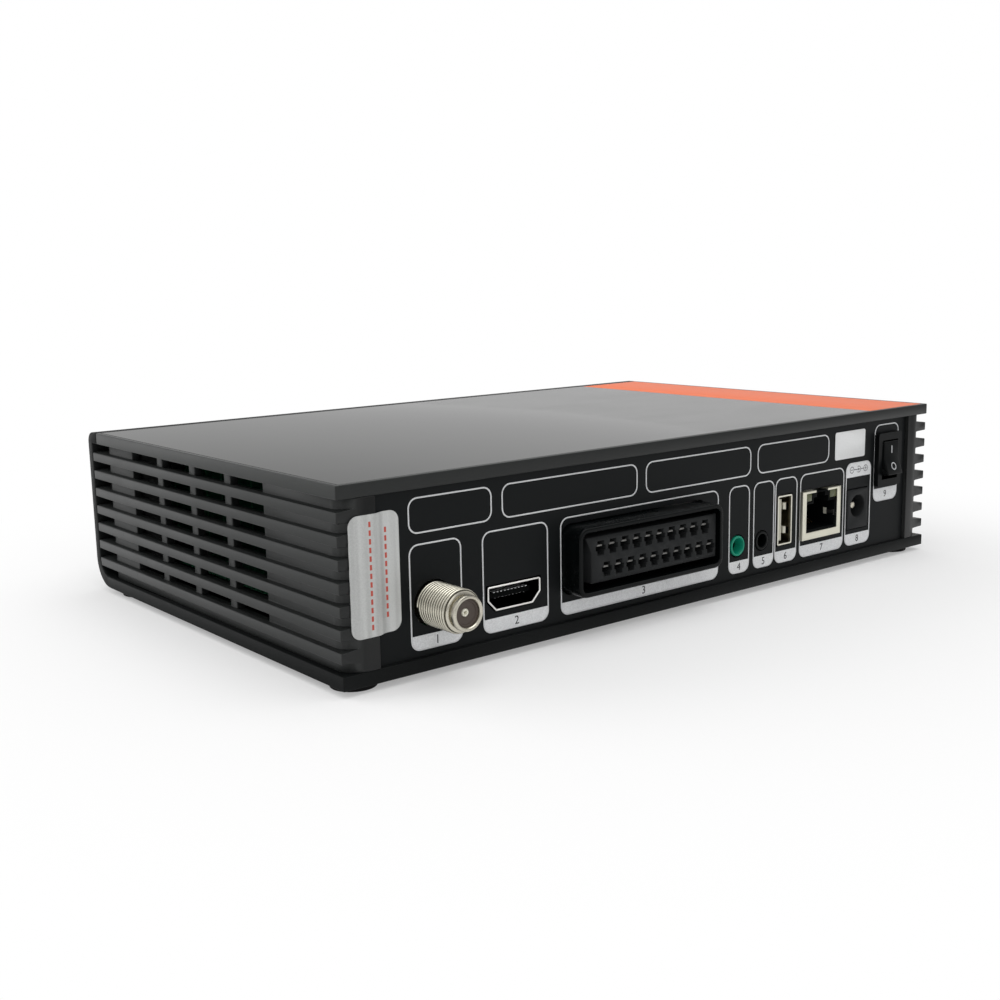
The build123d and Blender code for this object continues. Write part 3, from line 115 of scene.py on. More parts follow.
class Tree:
    """A shader or geometry node tree with one method that adds any node."""

    def __init__(self, tree: bpy.types.NodeTree) -> None:
        """Empties the tree."""
        self.tree = tree
        tree.nodes.clear()

    def node(
        self,
        kind: str,
        settings: Mapping[str, object] | None = None,
        sockets: Mapping[str | int, object] | None = None,
    ) -> bpy.types.Node:
        """Adds a node.

        Args:
            kind: the node's type.
            settings: its own settings, set first; "stops" holds a ramp's positions and colours.
            sockets: numbers, colours or wires for its inputs, by name or place.

        Returns:
            The node.
        """
        made = self.tree.nodes.new(kind)
        for name, value in (settings or {}).items():
            if name == "stops":
                self._set_stops(made.color_ramp, value)
            else:
                setattr(made, name, value)
        for name, value in (sockets or {}).items():
            if isinstance(value, Wire):
                self.tree.links.new(value.socket, made.inputs[name])
            else:
                made.inputs[name].default_value = value
        return made

    @staticmethod
    def _set_stops(ramp: bpy.types.ColorRamp, stops: Sequence[tuple[float, Colour]]) -> None:
        """Gives a ramp its positions and colours.

        Args:
            ramp: the ramp.
            stops: each position with its colour.
        """
        while len(ramp.elements) < len(stops):
            ramp.elements.new(1.0)
        for element, (place, colour) in zip(ramp.elements, stops):
            element.position = place
            element.color = (*colour, 1.0)

    def out(self, made: bpy.types.Node, name: str | int = 0) -> Wire:
        """An output of a node as a wire."""
        return Wire(self, made.outputs[name])

    def math(self, operation: str, left: "Wire | float", right: "Wire | float" = 0.0) -> Wire:
        """A Math node on two values."""
        made = self.node("ShaderNodeMath", {"operation": operation}, {0: left, 1: right})
        return self.out(made)

    def vector(self, operation: str, *inputs: "Wire | Sequence[float]") -> bpy.types.Node:
        """A Vector Math node on its inputs."""
        return self.node("ShaderNodeVectorMath", {"operation": operation}, dict(enumerate(inputs)))

    def between(self, value: Wire, start: float, end: float, smooth: bool = True) -> Wire:
        """Zero to one as a value goes from a start to an end.

        Args:
            value: the value.
            start: where the result is still zero.
            end: where it has reached one.
            smooth: whether it eases in and out.

        Returns:
            The share.
        """
        kind = "SMOOTHSTEP" if smooth else "LINEAR"
        sockets = {"Value": value, "From Min": start, "From Max": end}
        return self.out(self.node("ShaderNodeMapRange", {"interpolation_type": kind}, sockets))


class Shader(Tree):
    """The node tree of one material, on the object's own coordinates."""

    def __init__(self, name: str) -> None:
        """Makes an empty material.

        Args:
            name: the material's name, without its prefix.
        """
        self.material = bpy.data.materials.new(OWN + name)
        self.material.use_nodes = True
        super().__init__(self.material.node_tree)
        self.place = self.out(self.node("ShaderNodeTexCoord"), "Object")

    def scaled(self, size: Point) -> Wire:
        """The place divided by a size in millimetres along each axis.

        Args:
            size: the size along X, Y and Z.

        Returns:
            The divided place.
        """
        scale = tuple(1 / (MM * side) for side in size)
        made = self.node("ShaderNodeMapping", None, {"Vector": self.place, "Scale": scale})
        return self.out(made)

    def noise(self, size: Point | float, detail: float = 2.0, rough: float = 0.5) -> Wire:
        """Noise whose lumps are about that many millimetres across.

        Args:
            size: the lumps' size, one for all axes or one for each.
            detail: how many finer layers there are.
            rough: how strong they are.

        Returns:
            A value from zero to one.
        """
        sides = size if isinstance(size, tuple) else (size,) * 3
        sockets = {"Vector": self.scaled(sides), "Scale": 1.0, "Detail": detail, "Roughness": rough}
        return self.out(self.node("ShaderNodeTexNoise", None, sockets), "Fac")

    def along(self, axis: str, start: float, end: float) -> Wire:
        """Zero to one, smoothly, between two places along an axis, in millimetres."""
        parts = self.node("ShaderNodeSeparateXYZ", None, {0: self.place})
        return self.between(self.out(parts, axis), start * MM, end * MM)

    def outward(self, axis: tuple[float, float], start: float, end: float) -> Wire:
        """Zero to one between two distances from an axis along Y, in millimetres.

        Args:
            axis: X and Z of the axis.
            start: the distance that gives zero.
            end: the distance that gives one.

        Returns:
            The share.
        """
        moved = self.vector("SUBTRACT", self.place, Vector((axis[0], 0, axis[1])) * MM)
        flat = self.vector("MULTIPLY", self.out(moved), (1, 0, 1))
        reach = self.out(self.vector("LENGTH", self.out(flat)), "Value")
        return self.between(reach, start * MM, end * MM, smooth=False)

    def ramp(self, factor: Wire, *stops: tuple[float, float]) -> Wire:
        """A value read from a ramp of positions and grey levels."""
        greys = [(place, (level,) * 3) for place, level in stops]
        return self.out(self.node("ShaderNodeValToRGB", {"stops": greys}, {"Fac": factor}))

    def mix(self, factor: Wire, low: "Colour | Wire", high: "Colour | Wire") -> Wire:
        """A colour between two colours.

        Args:
            factor: the share of the second one.
            low: the first colour.
            high: the second colour.

        Returns:
            The colour.
        """
        ends = [end if isinstance(end, Wire) else (*end, 1.0) for end in (low, high)]
        sockets = {"Factor": factor, 6: ends[0], 7: ends[1]}
        return self.out(self.node("ShaderNodeMix", {"data_type": "RGBA"}, sockets), 2)

    def bump(self, height: Wire, depth: float) -> Wire:
        """A surface normal from a height of that many millimetres."""
        sockets = {"Height": height, "Distance": depth * MM}
        return self.out(self.node("ShaderNodeBump", None, sockets))

    def surface(self, **sockets: object) -> bpy.types.Material:
        """Ends the tree in one Principled surface.

        Args:
            sockets: its inputs, with _ for a space in a name.

        Returns:
            The material.
        """
        named = {name.replace("_", " "): value for name, value in sockets.items()}
        body = self.node("ShaderNodeBsdfPrincipled", None, named)
        self.node("ShaderNodeOutputMaterial", None, {"Surface": self.out(body)})
        return self.material


# ---- finishes -------------------------------------------------------------------------------
@dataclass(frozen=True)
class Moulded:
    """Moulded plastic or rubber with a fine spark-eroded grain and a little dust.

    A rear is painted shade: a darker colour on the faces that look to the rear, where one is given.
    """

    name: str
    colour: Colour
    roughness: float
    specular: float = 0.5
    grain: float = 0.35
    depth: float = 0.012
    dust: float = 0.12
    rear: Colour | None = None

    def material(self) -> bpy.types.Material:
        """Grain in the normal, cloudy gloss and a colour that drifts a little.

        Returns:
            The material.
        """
        shader = Shader(self.name)
        cloud = shader.noise(14.0, 4.0)
        speck = shader.ramp(shader.noise(0.9, 2.0), (0.66, 0.0), (0.78, 1.0))
        pale = tuple(min(1.0, level * 1.5 + 0.001) for level in self.colour)
        colour = shader.mix(cloud * 0.5 + speck * self.dust, self.colour, pale)
        if self.rear:
            # painted shade: the parts past the rear wall's face take the darker rear colour
            colour = shader.mix(shader.along("Y", WALL_Y + 0.4, WALL_Y + 0.9), colour, self.rear)
        rough = cloud * 0.16 + (self.roughness - 0.08) + speck * self.dust
        normal = shader.bump(shader.noise(self.grain, 3.0, 0.6), self.depth)
        return shader.surface(
            Base_Color=colour, Roughness=rough, Normal=normal, Specular_IOR_Level=self.specular
        )


@dataclass(frozen=True)
class Gloss:
    """Polished plastic with faint wiping marks."""

    name: str
    colour: Colour
    roughness: float
    specular: float = 0.5
    wipe: float = 0.05

    def material(self) -> bpy.types.Material:
        """Smears in the gloss, hairline scratches and a slight waviness.

        Returns:
            The material.
        """
        shader = Shader(self.name)
        smear = shader.noise((38.0, 16.0, 24.0), 5.0, 0.62)
        hair = shader.ramp(shader.noise((9.0, 0.35, 9.0), 2.0), (0.64, 0.0), (0.72, 1.0))
        rough = smear * self.wipe + hair * (self.wipe * 0.5) + self.roughness
        pale = tuple(min(1.0, level * 1.12 + 0.004) for level in self.colour)
        colour = shader.mix(smear, self.colour, pale)
        normal = shader.bump(shader.noise(22.0, 2.0), 0.02)
        return shader.surface(
            Base_Color=colour, Roughness=rough, Normal=normal, Specular_IOR_Level=self.specular
        )


@dataclass(frozen=True)
class Metal:
    """Plated, stamped or machined metal, with brushing along one axis.

    A mouth is how far in front of the rear wall's face, and how far behind it, the inside of a
    socket turns to painted shade. A thread is the radii from its root, painted as shade, to its
    crest.
    """

    name: str
    colour: Colour
    roughness: float
    brushing: Point = (3.0, 0.08, 0.25)
    tarnish: float = 0.25
    mouth: tuple[float, float] | None = None
    inside: Colour = (0.004, 0.004, 0.004)
    thread: tuple[float, float] | None = None

    def material(self) -> bpy.types.Material:
        """Directional scratches over a cloudy tarnish.

        Returns:
            The material.
        """
        shader = Shader(self.name)
        cloud = shader.noise(3.5, 4.0)
        brush = shader.noise(self.brushing, 3.0, 0.7)
        dull = tuple(level * 0.72 for level in self.colour)
        colour = shader.mix(cloud * self.tarnish + brush * 0.2, self.colour, dull)
        if self.mouth:
            # painted shade: the inside of a socket darkens behind the wall's face
            depth = shader.along("Y", WALL_Y + self.mouth[0], WALL_Y - self.mouth[1])
            colour = shader.mix(depth, colour, self.inside)
        if self.thread:
            # painted shade: the thread darkens towards its root
            centre = middle_mm("aerial_insulator")
            crest = shader.outward((centre.x, centre.z), *self.thread)
            colour = shader.mix(crest, self.inside, colour)
        rough = brush * 0.14 + cloud * 0.10 + (self.roughness - 0.1)
        normal = shader.bump(brush, 0.004)
        return shader.surface(Base_Color=colour, Metallic=1.0, Roughness=rough, Normal=normal)


@dataclass(frozen=True)
class SilverInk:
    """Screen-printed silver ink or foil with a fine metallic sparkle."""

    name: str
    colour: Colour
    sparkle: float = 0.5
    metallic: float = 0.35
    banding: float = 0.0

    def material(self) -> bpy.types.Material:
        """Flakes that differ in brightness and gloss, over soft upright bands of painted
        reflection.

        Returns:
            The material.
        """
        shader = Shader(self.name)
        flake = shader.noise(0.22, 1.0)
        patch = shader.noise(6.0, 3.0)
        # painted reflection: soft upright dark bands, as a curved foil mirrors its surroundings
        painted_reflection = shader.ramp(shader.noise((1.7, 30.0, 60.0), 1.0), (0.38, 0.0), (0.62, 1.0))
        dark = tuple(level * 0.62 for level in self.colour)
        shade = (shader.ramp(flake, (0.35, 0.0), (0.62, 1.0)) * self.sparkle
                 + patch * 0.15 + painted_reflection * self.banding)
        colour = shader.mix(shade, self.colour, dark)
        rough = flake * 0.25 + 0.38
        normal = shader.bump(flake, 0.006)
        return shader.surface(
            Base_Color=colour, Metallic=self.metallic, Roughness=rough, Normal=normal
        )


@dataclass(frozen=True)
class Laminate:
    """Circuit board laminate under a solder mask, with copper runs showing through."""

    name: str
    colour: Colour

    def material(self) -> bpy.types.Material:
        """Stepped runs of slightly paler mask, standing a hair proud.

        Returns:
            The material.
        """
        shader = Shader(self.name)
        bricks = shader.node(
            "ShaderNodeTexBrick", {"offset": 0.37, "squash": 1.0},
            {"Vector": shader.scaled((9.0, 9.0, 9.0)), "Scale": 1.0, "Mortar Size": 0.03},
        )
        runs = shader.out(bricks, "Fac")
        pale = tuple(min(1.0, level * 2.2 + 0.02) for level in self.colour)
        colour = shader.mix(runs * 0.7 + shader.noise(6.0) * 0.2, self.colour, pale)
        normal = shader.bump(runs, 0.03)
        return shader.surface(Base_Color=colour, Roughness=0.35, Normal=normal)


class Finish(Enum):
    """The finishes of the receiver; each value makes its material once."""

    CASE = Moulded("case_satin", (0.006, 0.0068, 0.0068), 0.44, 0.08)
    # the louvres' rear colour is painted shade on their rear-facing ends
    LOUVRE = Moulded("louvre_satin", (0.0185, 0.020, 0.0195), 0.42, 0.32,
                     rear=(0.0035, 0.004, 0.004))
    # the lid's rear colour is painted shade on its rear edge
    LID = Moulded("lid_rim", (0.038, 0.040, 0.039), 0.38, 0.18, 0.5, 0.006,
                  rear=(0.022, 0.0235, 0.023))
    WALL = Moulded("rear_wall_satin", (0.0058, 0.0068, 0.0072), 0.46, 0.09)
    RUBBER = Moulded("foot_rubber", (0.006, 0.006, 0.006), 0.82, 0.2, 0.6, 0.03)
    SOCKET = Moulded("socket_black", (0.0010, 0.0018, 0.0019), 0.28, 0.12, 0.3, 0.004, 0.02)
    CORE = Moulded("scart_core_grey", (0.014, 0.0150, 0.0155), 0.5, 0.12, 0.3, 0.008, 0.03)
    DARK = Moulded("insulator_black", (0.0016, 0.002, 0.002), 0.5, 0.03, 0.3, 0.008, 0.02)
    CHIP = Moulded("chip_epoxy", (0.02, 0.02, 0.021), 0.62, 0.4, 0.15, 0.01, 0.05)
    TONGUE = Moulded("tongue_white", (0.48, 0.465, 0.38), 0.5, 0.4, 0.3, 0.005, 0.05)
    HEADER = Moulded("header_white", (0.78, 0.76, 0.70), 0.5, 0.4, 0.3, 0.006, 0.05)
    FERRITE = Moulded("ferrite", (0.05, 0.05, 0.052), 0.7, 0.4, 0.25, 0.03, 0.1)
    JACKET = Moulded("lead_jacket", (0.42, 0.02, 0.02), 0.4, 0.5, 0.8, 0.01, 0.02)
    SLEEVE = Moulded("jack_sleeve_green", (0.004, 0.22, 0.135), 0.32, 0.25, 0.3, 0.004, 0.03)
    SWITCH = Moulded("switch_black", (0.0030, 0.0036, 0.0038), 0.34, 0.09, 0.35, 0.006, 0.04)
    INSULATOR = Moulded("aerial_insulator", (0.070, 0.055, 0.047), 0.55, 0.3, 0.25, 0.01, 0.05)
    INLAY = Gloss("lid_inlay_gloss", (0.020, 0.021, 0.019), 0.035)
    STRIP = Gloss("accent_strip_orange", (0.80, 0.155, 0.045), 0.34, 0.12)
    WINDOW = Gloss("window_smoke", (0.006, 0.006, 0.007), 0.03)
    KEY = Gloss("key_gloss", (0.10, 0.10, 0.105), 0.12)
    LAMP = Gloss("network_lamp", (0.060, 0.068, 0.018), 0.15)
    STATUS = Gloss("status_lamp", (0.45, 0.02, 0.02), 0.12)
    FILM = Gloss("ribbon_film", (0.62, 0.64, 0.66), 0.25)
    SLEEVED = Gloss("capacitor_sleeve", (0.02, 0.03, 0.09), 0.22)
    NICKEL = Metal("nickel_plate", (0.62, 0.59, 0.50), 0.26)
    # the thread is the body's plating made paler as a painted highlight, with painted shade at its
    # root
    THREAD = Metal("thread_plate", (0.74, 0.71, 0.60), 0.24, inside=(0.035, 0.032, 0.022),
                   thread=(4.36, 4.70))
    # the insides of the HDMI and USB shells turn to painted shade behind their mouths
    RIM = Metal("hdmi_steel", (0.86, 0.85, 0.82), 0.30, mouth=(0.16, 0.2))
    USB = Metal("usb_steel", (0.78, 0.76, 0.66), 0.30, mouth=(0.1, 0.7), inside=(0.16, 0.14, 0.10))
    SHELL = Metal("socket_shell", (0.78, 0.76, 0.64), 0.34)
    STEEL = Metal("screw_steel", (0.46, 0.46, 0.45), 0.32)
    TIN = Metal("tin_plate", (0.62, 0.62, 0.59), 0.34)
    BRASS = Metal("contact_brass", (0.78, 0.60, 0.30), 0.26)
    CONTACT = Metal("contact_pale", (0.22, 0.217, 0.207), 0.40)
    ALUMINIUM = Metal("sink_aluminium", (0.55, 0.56, 0.57), 0.38)
    INK = SilverInk("print_silver", (0.80, 0.81, 0.82), 0.4)
    LINE = SilverInk("print_line", (0.70, 0.71, 0.72), 0.2, 0.1)
    # the seal's upright bands are painted reflection
    SEAL = SilverInk("seal_foil", (0.62, 0.63, 0.62), 0.2, 0.4, 0.5)
    # a pale, barely metallic stand-in for glinting metal: painted highlight on springs and contacts
    SPRING = SilverInk("spring_painted_highlight", (0.84, 0.82, 0.70), 0.1, 0.2)
    LABEL = SilverInk("label_white", (0.86, 0.87, 0.87), 0.25, 0.1)
    GLYPH = Moulded("print_black", (0.02, 0.02, 0.022), 0.6, 0.3, 0.3, 0.002, 0.0)
    GREY = Moulded("print_grey", (0.10, 0.10, 0.105), 0.6, 0.3, 0.3, 0.002, 0.0)
    WHITE = Moulded("print_white", (0.50, 0.51, 0.52), 0.6, 0.3, 0.3, 0.002, 0.0)
    RED = Moulded("print_red", (0.42, 0.07, 0.05), 0.6, 0.3, 0.3, 0.002, 0.0)
    BOARD = Laminate("board_mask", (0.012, 0.10, 0.045))

    def material(self) -> bpy.types.Material:
        """The finish's material, made the first time it is asked for."""
        return bpy.data.materials.get(OWN + self.value.name) or self.value.material()


# ---- meshes ---------------------------------------------------------------------------------
def in_scene(name: str, data: bpy.types.ID) -> bpy.types.Object:
    """Adds an object to the scene.

    Args:
        name: its name.
        data: the mesh, curve, lamp or camera that it shows.

    Returns:
        The object.
    """
    made = bpy.data.objects.new(name, data)
    bpy.context.scene.collection.objects.link(made)
    return made


def joined(meshes: Iterable[bpy.types.Mesh]) -> bpy.types.Mesh:
    """Makes one mesh of several.

    Args:
        meshes: the meshes.

    Returns:
        Their faces in one mesh, with the materials of the first that has any.
    """
    work = bmesh.new()
    materials: list[bpy.types.Material] = []
    for mesh in meshes:
        materials = materials or list(mesh.materials)
        work.from_mesh(mesh)
    result = bpy.data.meshes.new("joined")
    work.to_mesh(result)
    work.free()
    for material in materials:
        result.materials.append(material)
    return result


def new_piece(
    name: str, shape: bpy.types.Mesh | list[bpy.types.Mesh], finish: Finish,
    body: str = CASE, stands_for: Sequence[str] = (),
) -> bpy.types.Object:
    """Shows a mesh as a piece of the receiver.

    Args:
        name: the piece's name.
        shape: its mesh, already in place, or several that become one.
        finish: its finish, unless the mesh has materials of its own.
        body: the body that it moves with.
        stands_for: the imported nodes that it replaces.

    Returns:
        The piece's object.
    """
    mesh = joined(shape) if isinstance(shape, list) else shape
    mesh.name = f"{name}_mesh"
    piece = in_scene(name, mesh)
    if not mesh.materials:
        mesh.materials.append(finish.material())
    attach(piece, body)
    if stands_for:
        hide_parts(*stands_for)
    log.info("%s: %d faces on %s", name, len(mesh.polygons), body)
    return piece


def dress(node: str, finish: Finish) -> None:
    """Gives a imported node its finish."""
    frame["nodes"][node].material_slots[0].material = finish.material()
    log.info("%s dressed as %s", node, finish.value.name)


def evaluated_mesh(piece: bpy.types.Object) -> bpy.types.Mesh:
    """The mesh of an object with its modifiers applied; the object is removed.

    Args:
        piece: the object.

    Returns:
        The mesh.
    """
    bpy.context.view_layer.update()
    graph = bpy.context.evaluated_depsgraph_get()
    mesh = bpy.data.meshes.new_from_object(piece.evaluated_get(graph), depsgraph=graph)
    bpy.data.objects.remove(piece)
    return mesh


def softened(
    mesh: bpy.types.Mesh, edge: float, segments: int = 2, angle: float = 30.0
) -> bpy.types.Mesh:
    """Rounds the sharp edges of a closed mesh.

    Args:
        mesh: the mesh, in metres.
        edge: width of the rounding in millimetres.
        segments: faces across each rounding.
        angle: edges that turn less than this, in degrees, stay as they are.

    Returns:
        The rounded mesh.
    """
    mesh.shade_smooth()
    carrier = in_scene("carrier", mesh)
    bevel = carrier.modifiers.new("edges", "BEVEL")
    bevel.width = edge * MM
    bevel.segments = segments
    bevel.limit_method = "ANGLE"
    bevel.angle_limit = math.radians(angle)
    bevel.use_clamp_overlap = False
    bevel.harden_normals = True
    return evaluated_mesh(carrier)


def is_flat(edge: bmesh.types.BMEdge) -> bool:
    """Whether the two faces at an edge lie in one plane."""
    return edge.is_manifold and edge.calc_face_angle() < FLAT


def flat_region(start: bmesh.types.BMFace) -> set[bmesh.types.BMFace]:
    """All faces that join a face without a bend.

    Args:
        start: the face.

    Returns:
        The faces, with that one among them.
    """
    region, waiting = {start}, [start]
    while waiting:
        for edge in waiting.pop().edges:
            if is_flat(edge):
                for face in edge.link_faces:
                    if face not in region:
                        region.add(face)
                        waiting.append(face)
    return region


def is_simple(region: set[bmesh.types.BMFace]) -> bool:
    """Whether a flat region has one rim only, which nowhere touches itself.

    Args:
        region: its faces.

    Returns:
        Whether it can become one face.
    """
    rim = {edge for face in region for edge in face.edges
           if any(other not in region for other in edge.link_faces)}
    if any(len(rim.intersection(corner.link_edges)) > 2 for edge in rim for corner in edge.verts):
        return False
    waiting = [rim.pop()]
    while waiting:
        for corner in waiting.pop().verts:
            joined_edges = rim.intersection(corner.link_edges)
            rim -= joined_edges
            waiting.extend(joined_edges)
    return not rim


def node_mesh(node: str) -> bpy.types.Mesh:
    """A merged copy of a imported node's mesh, with its flat faces without a hole joined up.

    Args:
        node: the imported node.

    Returns:
        The copy, without materials.
    """
    copy = frame["nodes"][node].data.copy()
    copy.materials.clear()
    work = bmesh.new()
    work.from_mesh(copy)
    bmesh.ops.remove_doubles(work, verts=work.verts, dist=1e-6)
    done, whole = set(), []
    for face in work.faces:
        if face not in done:
            region = flat_region(face)
            done |= region
            if len(region) > 1 and is_simple(region):
                whole.append(region)
    for region in whole:
        bmesh.ops.dissolve_faces(work, faces=list(region), use_verts=False)
    work.to_mesh(copy)
    work.free()
    return copy


def refine(
    node: str, name: str, finish: Finish, edge: float, segments: int = 2,
    body: str = CASE,
) -> bpy.types.Object:
    """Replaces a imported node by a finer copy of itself.

    Args:
        node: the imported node.
        name: the new piece's name.
        finish: its finish.
        edge: rounding of every sharp edge, in millimetres.
        segments: faces across that rounding.
        body: the body that it moves with.

    Returns:
        The piece's object.
    """
    mesh = softened(node_mesh(node), edge, segments)
    return new_piece(name, mesh, finish, body, [node])


def mesh_of(build: Callable[[bmesh.types.BMesh], object], smooth: bool = False) -> bpy.types.Mesh:
    """Makes a mesh in metres from one that is drawn in millimetres.

    Args:
        build: a function that draws it.
        smooth: whether its gentle bends are shaded smooth.

    Returns:
        The mesh, with its faces turned outwards.
    """
    work = bmesh.new()
    build(work)
    bmesh.ops.recalc_face_normals(work, faces=work.faces)
    bmesh.ops.scale(work, vec=(MM, MM, MM), verts=work.verts)
    mesh = bpy.data.meshes.new("shape")
    work.to_mesh(mesh)
    work.free()
    if smooth:
        mesh.shade_smooth()
        mesh.set_sharp_from_angle(angle=SHARP)
    return mesh


def add_prism(
    work: bmesh.types.BMesh, outline: Sequence[tuple[float, float]], low: float, high: float,
    axes: str = "xzy",
) -> None:
    """Adds a closed prism.

    Args:
        work: the mesh to add to.
        outline: its corners, along the first two of the axes.
        low: where it starts along the third axis.
        high: where it ends.
        axes: the axes of the outline's two numbers and of the prism's length.
    """
    places = ["xyz".index(letter) for letter in axes]
    ends = []
    for level in (low, high):
        ring = []
        for first, second in outline:
            point = [0.0, 0.0, 0.0]
            for place, value in zip(places, (first, second, level)):
                point[place] = value
            ring.append(work.verts.new(point))
        ends.append(ring)
    work.faces.new(ends[0])
    work.faces.new(ends[1])
    count = len(outline)
    for i in range(count):
        j = (i + 1) % count
        work.faces.new((ends[0][i], ends[0][j], ends[1][j], ends[1][i]))


def box_corners(low: Sequence[float], high: Sequence[float]) -> list[tuple[float, float]]:
    """X and Z of the four corners of a box, anticlockwise."""
    return [(low[0], low[2]), (high[0], low[2]), (high[0], high[2]), (low[0], high[2])]


def add_block(work: bmesh.types.BMesh, low: Sequence[float], high: Sequence[float]) -> None:
    """Adds a box between two corners."""
    add_prism(work, box_corners(low, high), low[1], high[1])


def add_lathe(
    work: bmesh.types.BMesh, profile: Sequence[tuple[float, float]], centre: tuple[float, float],
    steps: int = 64, closed: bool = True,
) -> None:
    """Adds a shape turned about an axis along Y.

    Args:
        work: the mesh to add to.
        profile: its radius and its place along Y, in order round the section.
        centre: X and Z of the axis.
        steps: faces round the axis.
        closed: whether the last point joins the first one.
    """
    rings = []
    for radius, along in profile:
        if radius == 0:
            rings.append([work.verts.new((centre[0], along, centre[1]))])
            continue
        turns = [2 * math.pi * i / steps for i in range(steps)]
        rings.append([
            work.verts.new((centre[0] + radius * math.cos(turn), along,
                            centre[1] + radius * math.sin(turn)))
            for turn in turns
        ])
    pairs = list(zip(rings, rings[1:] + rings[:1])) if closed else list(zip(rings, rings[1:]))
    for near, far in pairs:
        for i in range(steps):
            j = (i + 1) % steps
            corners = [near[i % len(near)], near[j % len(near)], far[j % len(far)],
                       far[i % len(far)]]
            unique = list(dict.fromkeys(corners))
            if len(unique) > 2:
                work.faces.new(unique)


def rounded_polygon(
    corners: Sequence[tuple[float, float]], radius: float, inset: float = 0.0, steps: int = 6
) -> list[tuple[float, float]]:
    """A convex outline with round corners.

    Args:
        corners: the sharp corners, anticlockwise.
        radius: radius of the corners where nothing is inset.
        inset: how far the whole outline is moved inwards.
        steps: faces round each corner.

    Returns:
        Its points, as many for every inset.
    """
    made = []
    for i, corner in enumerate(corners):
        before, here, after = (Vector(point) for point in (
            corners[i - 1], corner, corners[(i + 1) % len(corners)]))
        first, second = (Vector((-line.y, line.x)).normalized()
                         for line in (here - before, after - here))
        bend = max(radius - inset, 0.03)
        centre = here + (first + second) / (1 + first.dot(second)) * (inset + bend)
        start = math.atan2(-first.y, -first.x)
        turn = math.acos(max(-1.0, min(1.0, first.dot(second))))
        for k in range(steps + 1):
            angle = start + turn * k / steps
            made.append((centre.x + bend * math.cos(angle), centre.y + bend * math.sin(angle)))
    return made


def add_sleeve(
    work: bmesh.types.BMesh, corners: Sequence[tuple[float, float]], radius: float,
    profile: Sequence[tuple[float, float]],
) -> None:
    """Adds a closed socket shell, drawn along Y from its back to its front and in again.

    Args:
        work: the mesh to add to.
        corners: X and Z of the outline's sharp corners, anticlockwise.
        radius: radius of those corners.
        profile: how far the outline is inset, and its Y, at each turn of the section.
    """
    rings = [[work.verts.new((x, y, z)) for x, z in rounded_polygon(corners, radius, inset)]
             for inset, y in profile]
    count = len(rings[0])
    for near, far in zip(rings, rings[1:]):
        for i in range(count):
            j = (i + 1) % count
            work.faces.new((near[i], near[j], far[j], far[i]))
    work.faces.new(rings[0])
    work.faces.new(rings[-1])


# ---- geometry trees -------------------------------------------------------------------------
class Maker(Tree):
    """A geometry tree with named inputs that makes one kind of repeated piece."""

    def __init__(self, name: str, inputs: Mapping[str, str]) -> None:
        """Args:
            name: the tree's name.
            inputs: each input's name and socket type.
        """
        group = bpy.data.node_groups.new(name, "GeometryNodeTree")
        super().__init__(group)
        for label, kind in inputs.items():
            group.interface.new_socket(label, in_out="INPUT", socket_type=kind)
        group.interface.new_socket("Geometry", in_out="OUTPUT", socket_type="NodeSocketGeometry")
        self.given = self.node("NodeGroupInput")

    def value(self, name: str) -> Wire:
        """One of the tree's inputs as a wire."""
        return self.out(self.given, name)

    def end(self, geometry: Wire) -> None:
        """Makes the instances real, gives them the material and ends the tree.

        Args:
            geometry: what the tree has made.
        """
        real = self.out(self.node("GeometryNodeRealizeInstances", None, {"Geometry": geometry}))
        painted = self.node(
            "GeometryNodeSetMaterial", None, {"Geometry": real, "Material": self.value("Material")}
        )
        self.node("NodeGroupOutput", None, {"Geometry": self.out(painted)})

    def run(
        self, values: Mapping[str, object], base: bpy.types.Mesh | None = None
    ) -> bpy.types.Mesh:
        """Runs the tree on a base mesh.

        Args:
            values: the inputs' values by name.
            base: the mesh that goes into the tree's Geometry input, if it has one.

        Returns:
            The mesh it makes.
        """
        carrier = in_scene("carrier", base or bpy.data.meshes.new("empty"))
        modifier = carrier.modifiers.new("maker", "NODES")
        modifier.node_group = self.tree
        for item in self.tree.interface.items_tree:
            if item.in_out == "INPUT" and item.name in values:
                modifier[item.identifier] = values[item.name]
        return evaluated_mesh(carrier)


@cache
def row_maker() -> Maker:
    """Builds the tree that repeats the base mesh along a step.

    Returns:
        The tree, the same one each time.
    """
    maker = Maker("row", {
        "Geometry": "NodeSocketGeometry", "Count": "NodeSocketInt", "Start": "NodeSocketVector",
        "Step": "NodeSocketVector", "Material": "NodeSocketMaterial",
    })
    line = maker.node("GeometryNodeMeshLine", {"mode": "OFFSET"}, {
        "Count": maker.value("Count"), "Start Location": maker.value("Start"),
        "Offset": maker.value("Step"),
    })
    copies = maker.node("GeometryNodeInstanceOnPoints", None, {
        "Points": maker.out(line), "Instance": maker.value("Geometry"),
    })
    maker.end(maker.out(copies))
    return maker


def in_a_row(
    base: bpy.types.Mesh, count: int, start: Point, step: Point, finish: Finish
) -> bpy.types.Mesh:
    """Repeats a mesh at even steps.

    Args:
        base: the mesh.
        count: how many of it there are.
        start: how far the first one is moved, in millimetres.
        step: the way from one to the next, in millimetres.
        finish: the finish of the whole row.

    Returns:
        The row as one mesh.
    """
    return row_maker().run({
        "Count": count, "Start": Vector(start) * MM, "Step": Vector(step) * MM,
        "Material": finish.material(),
    }, base)


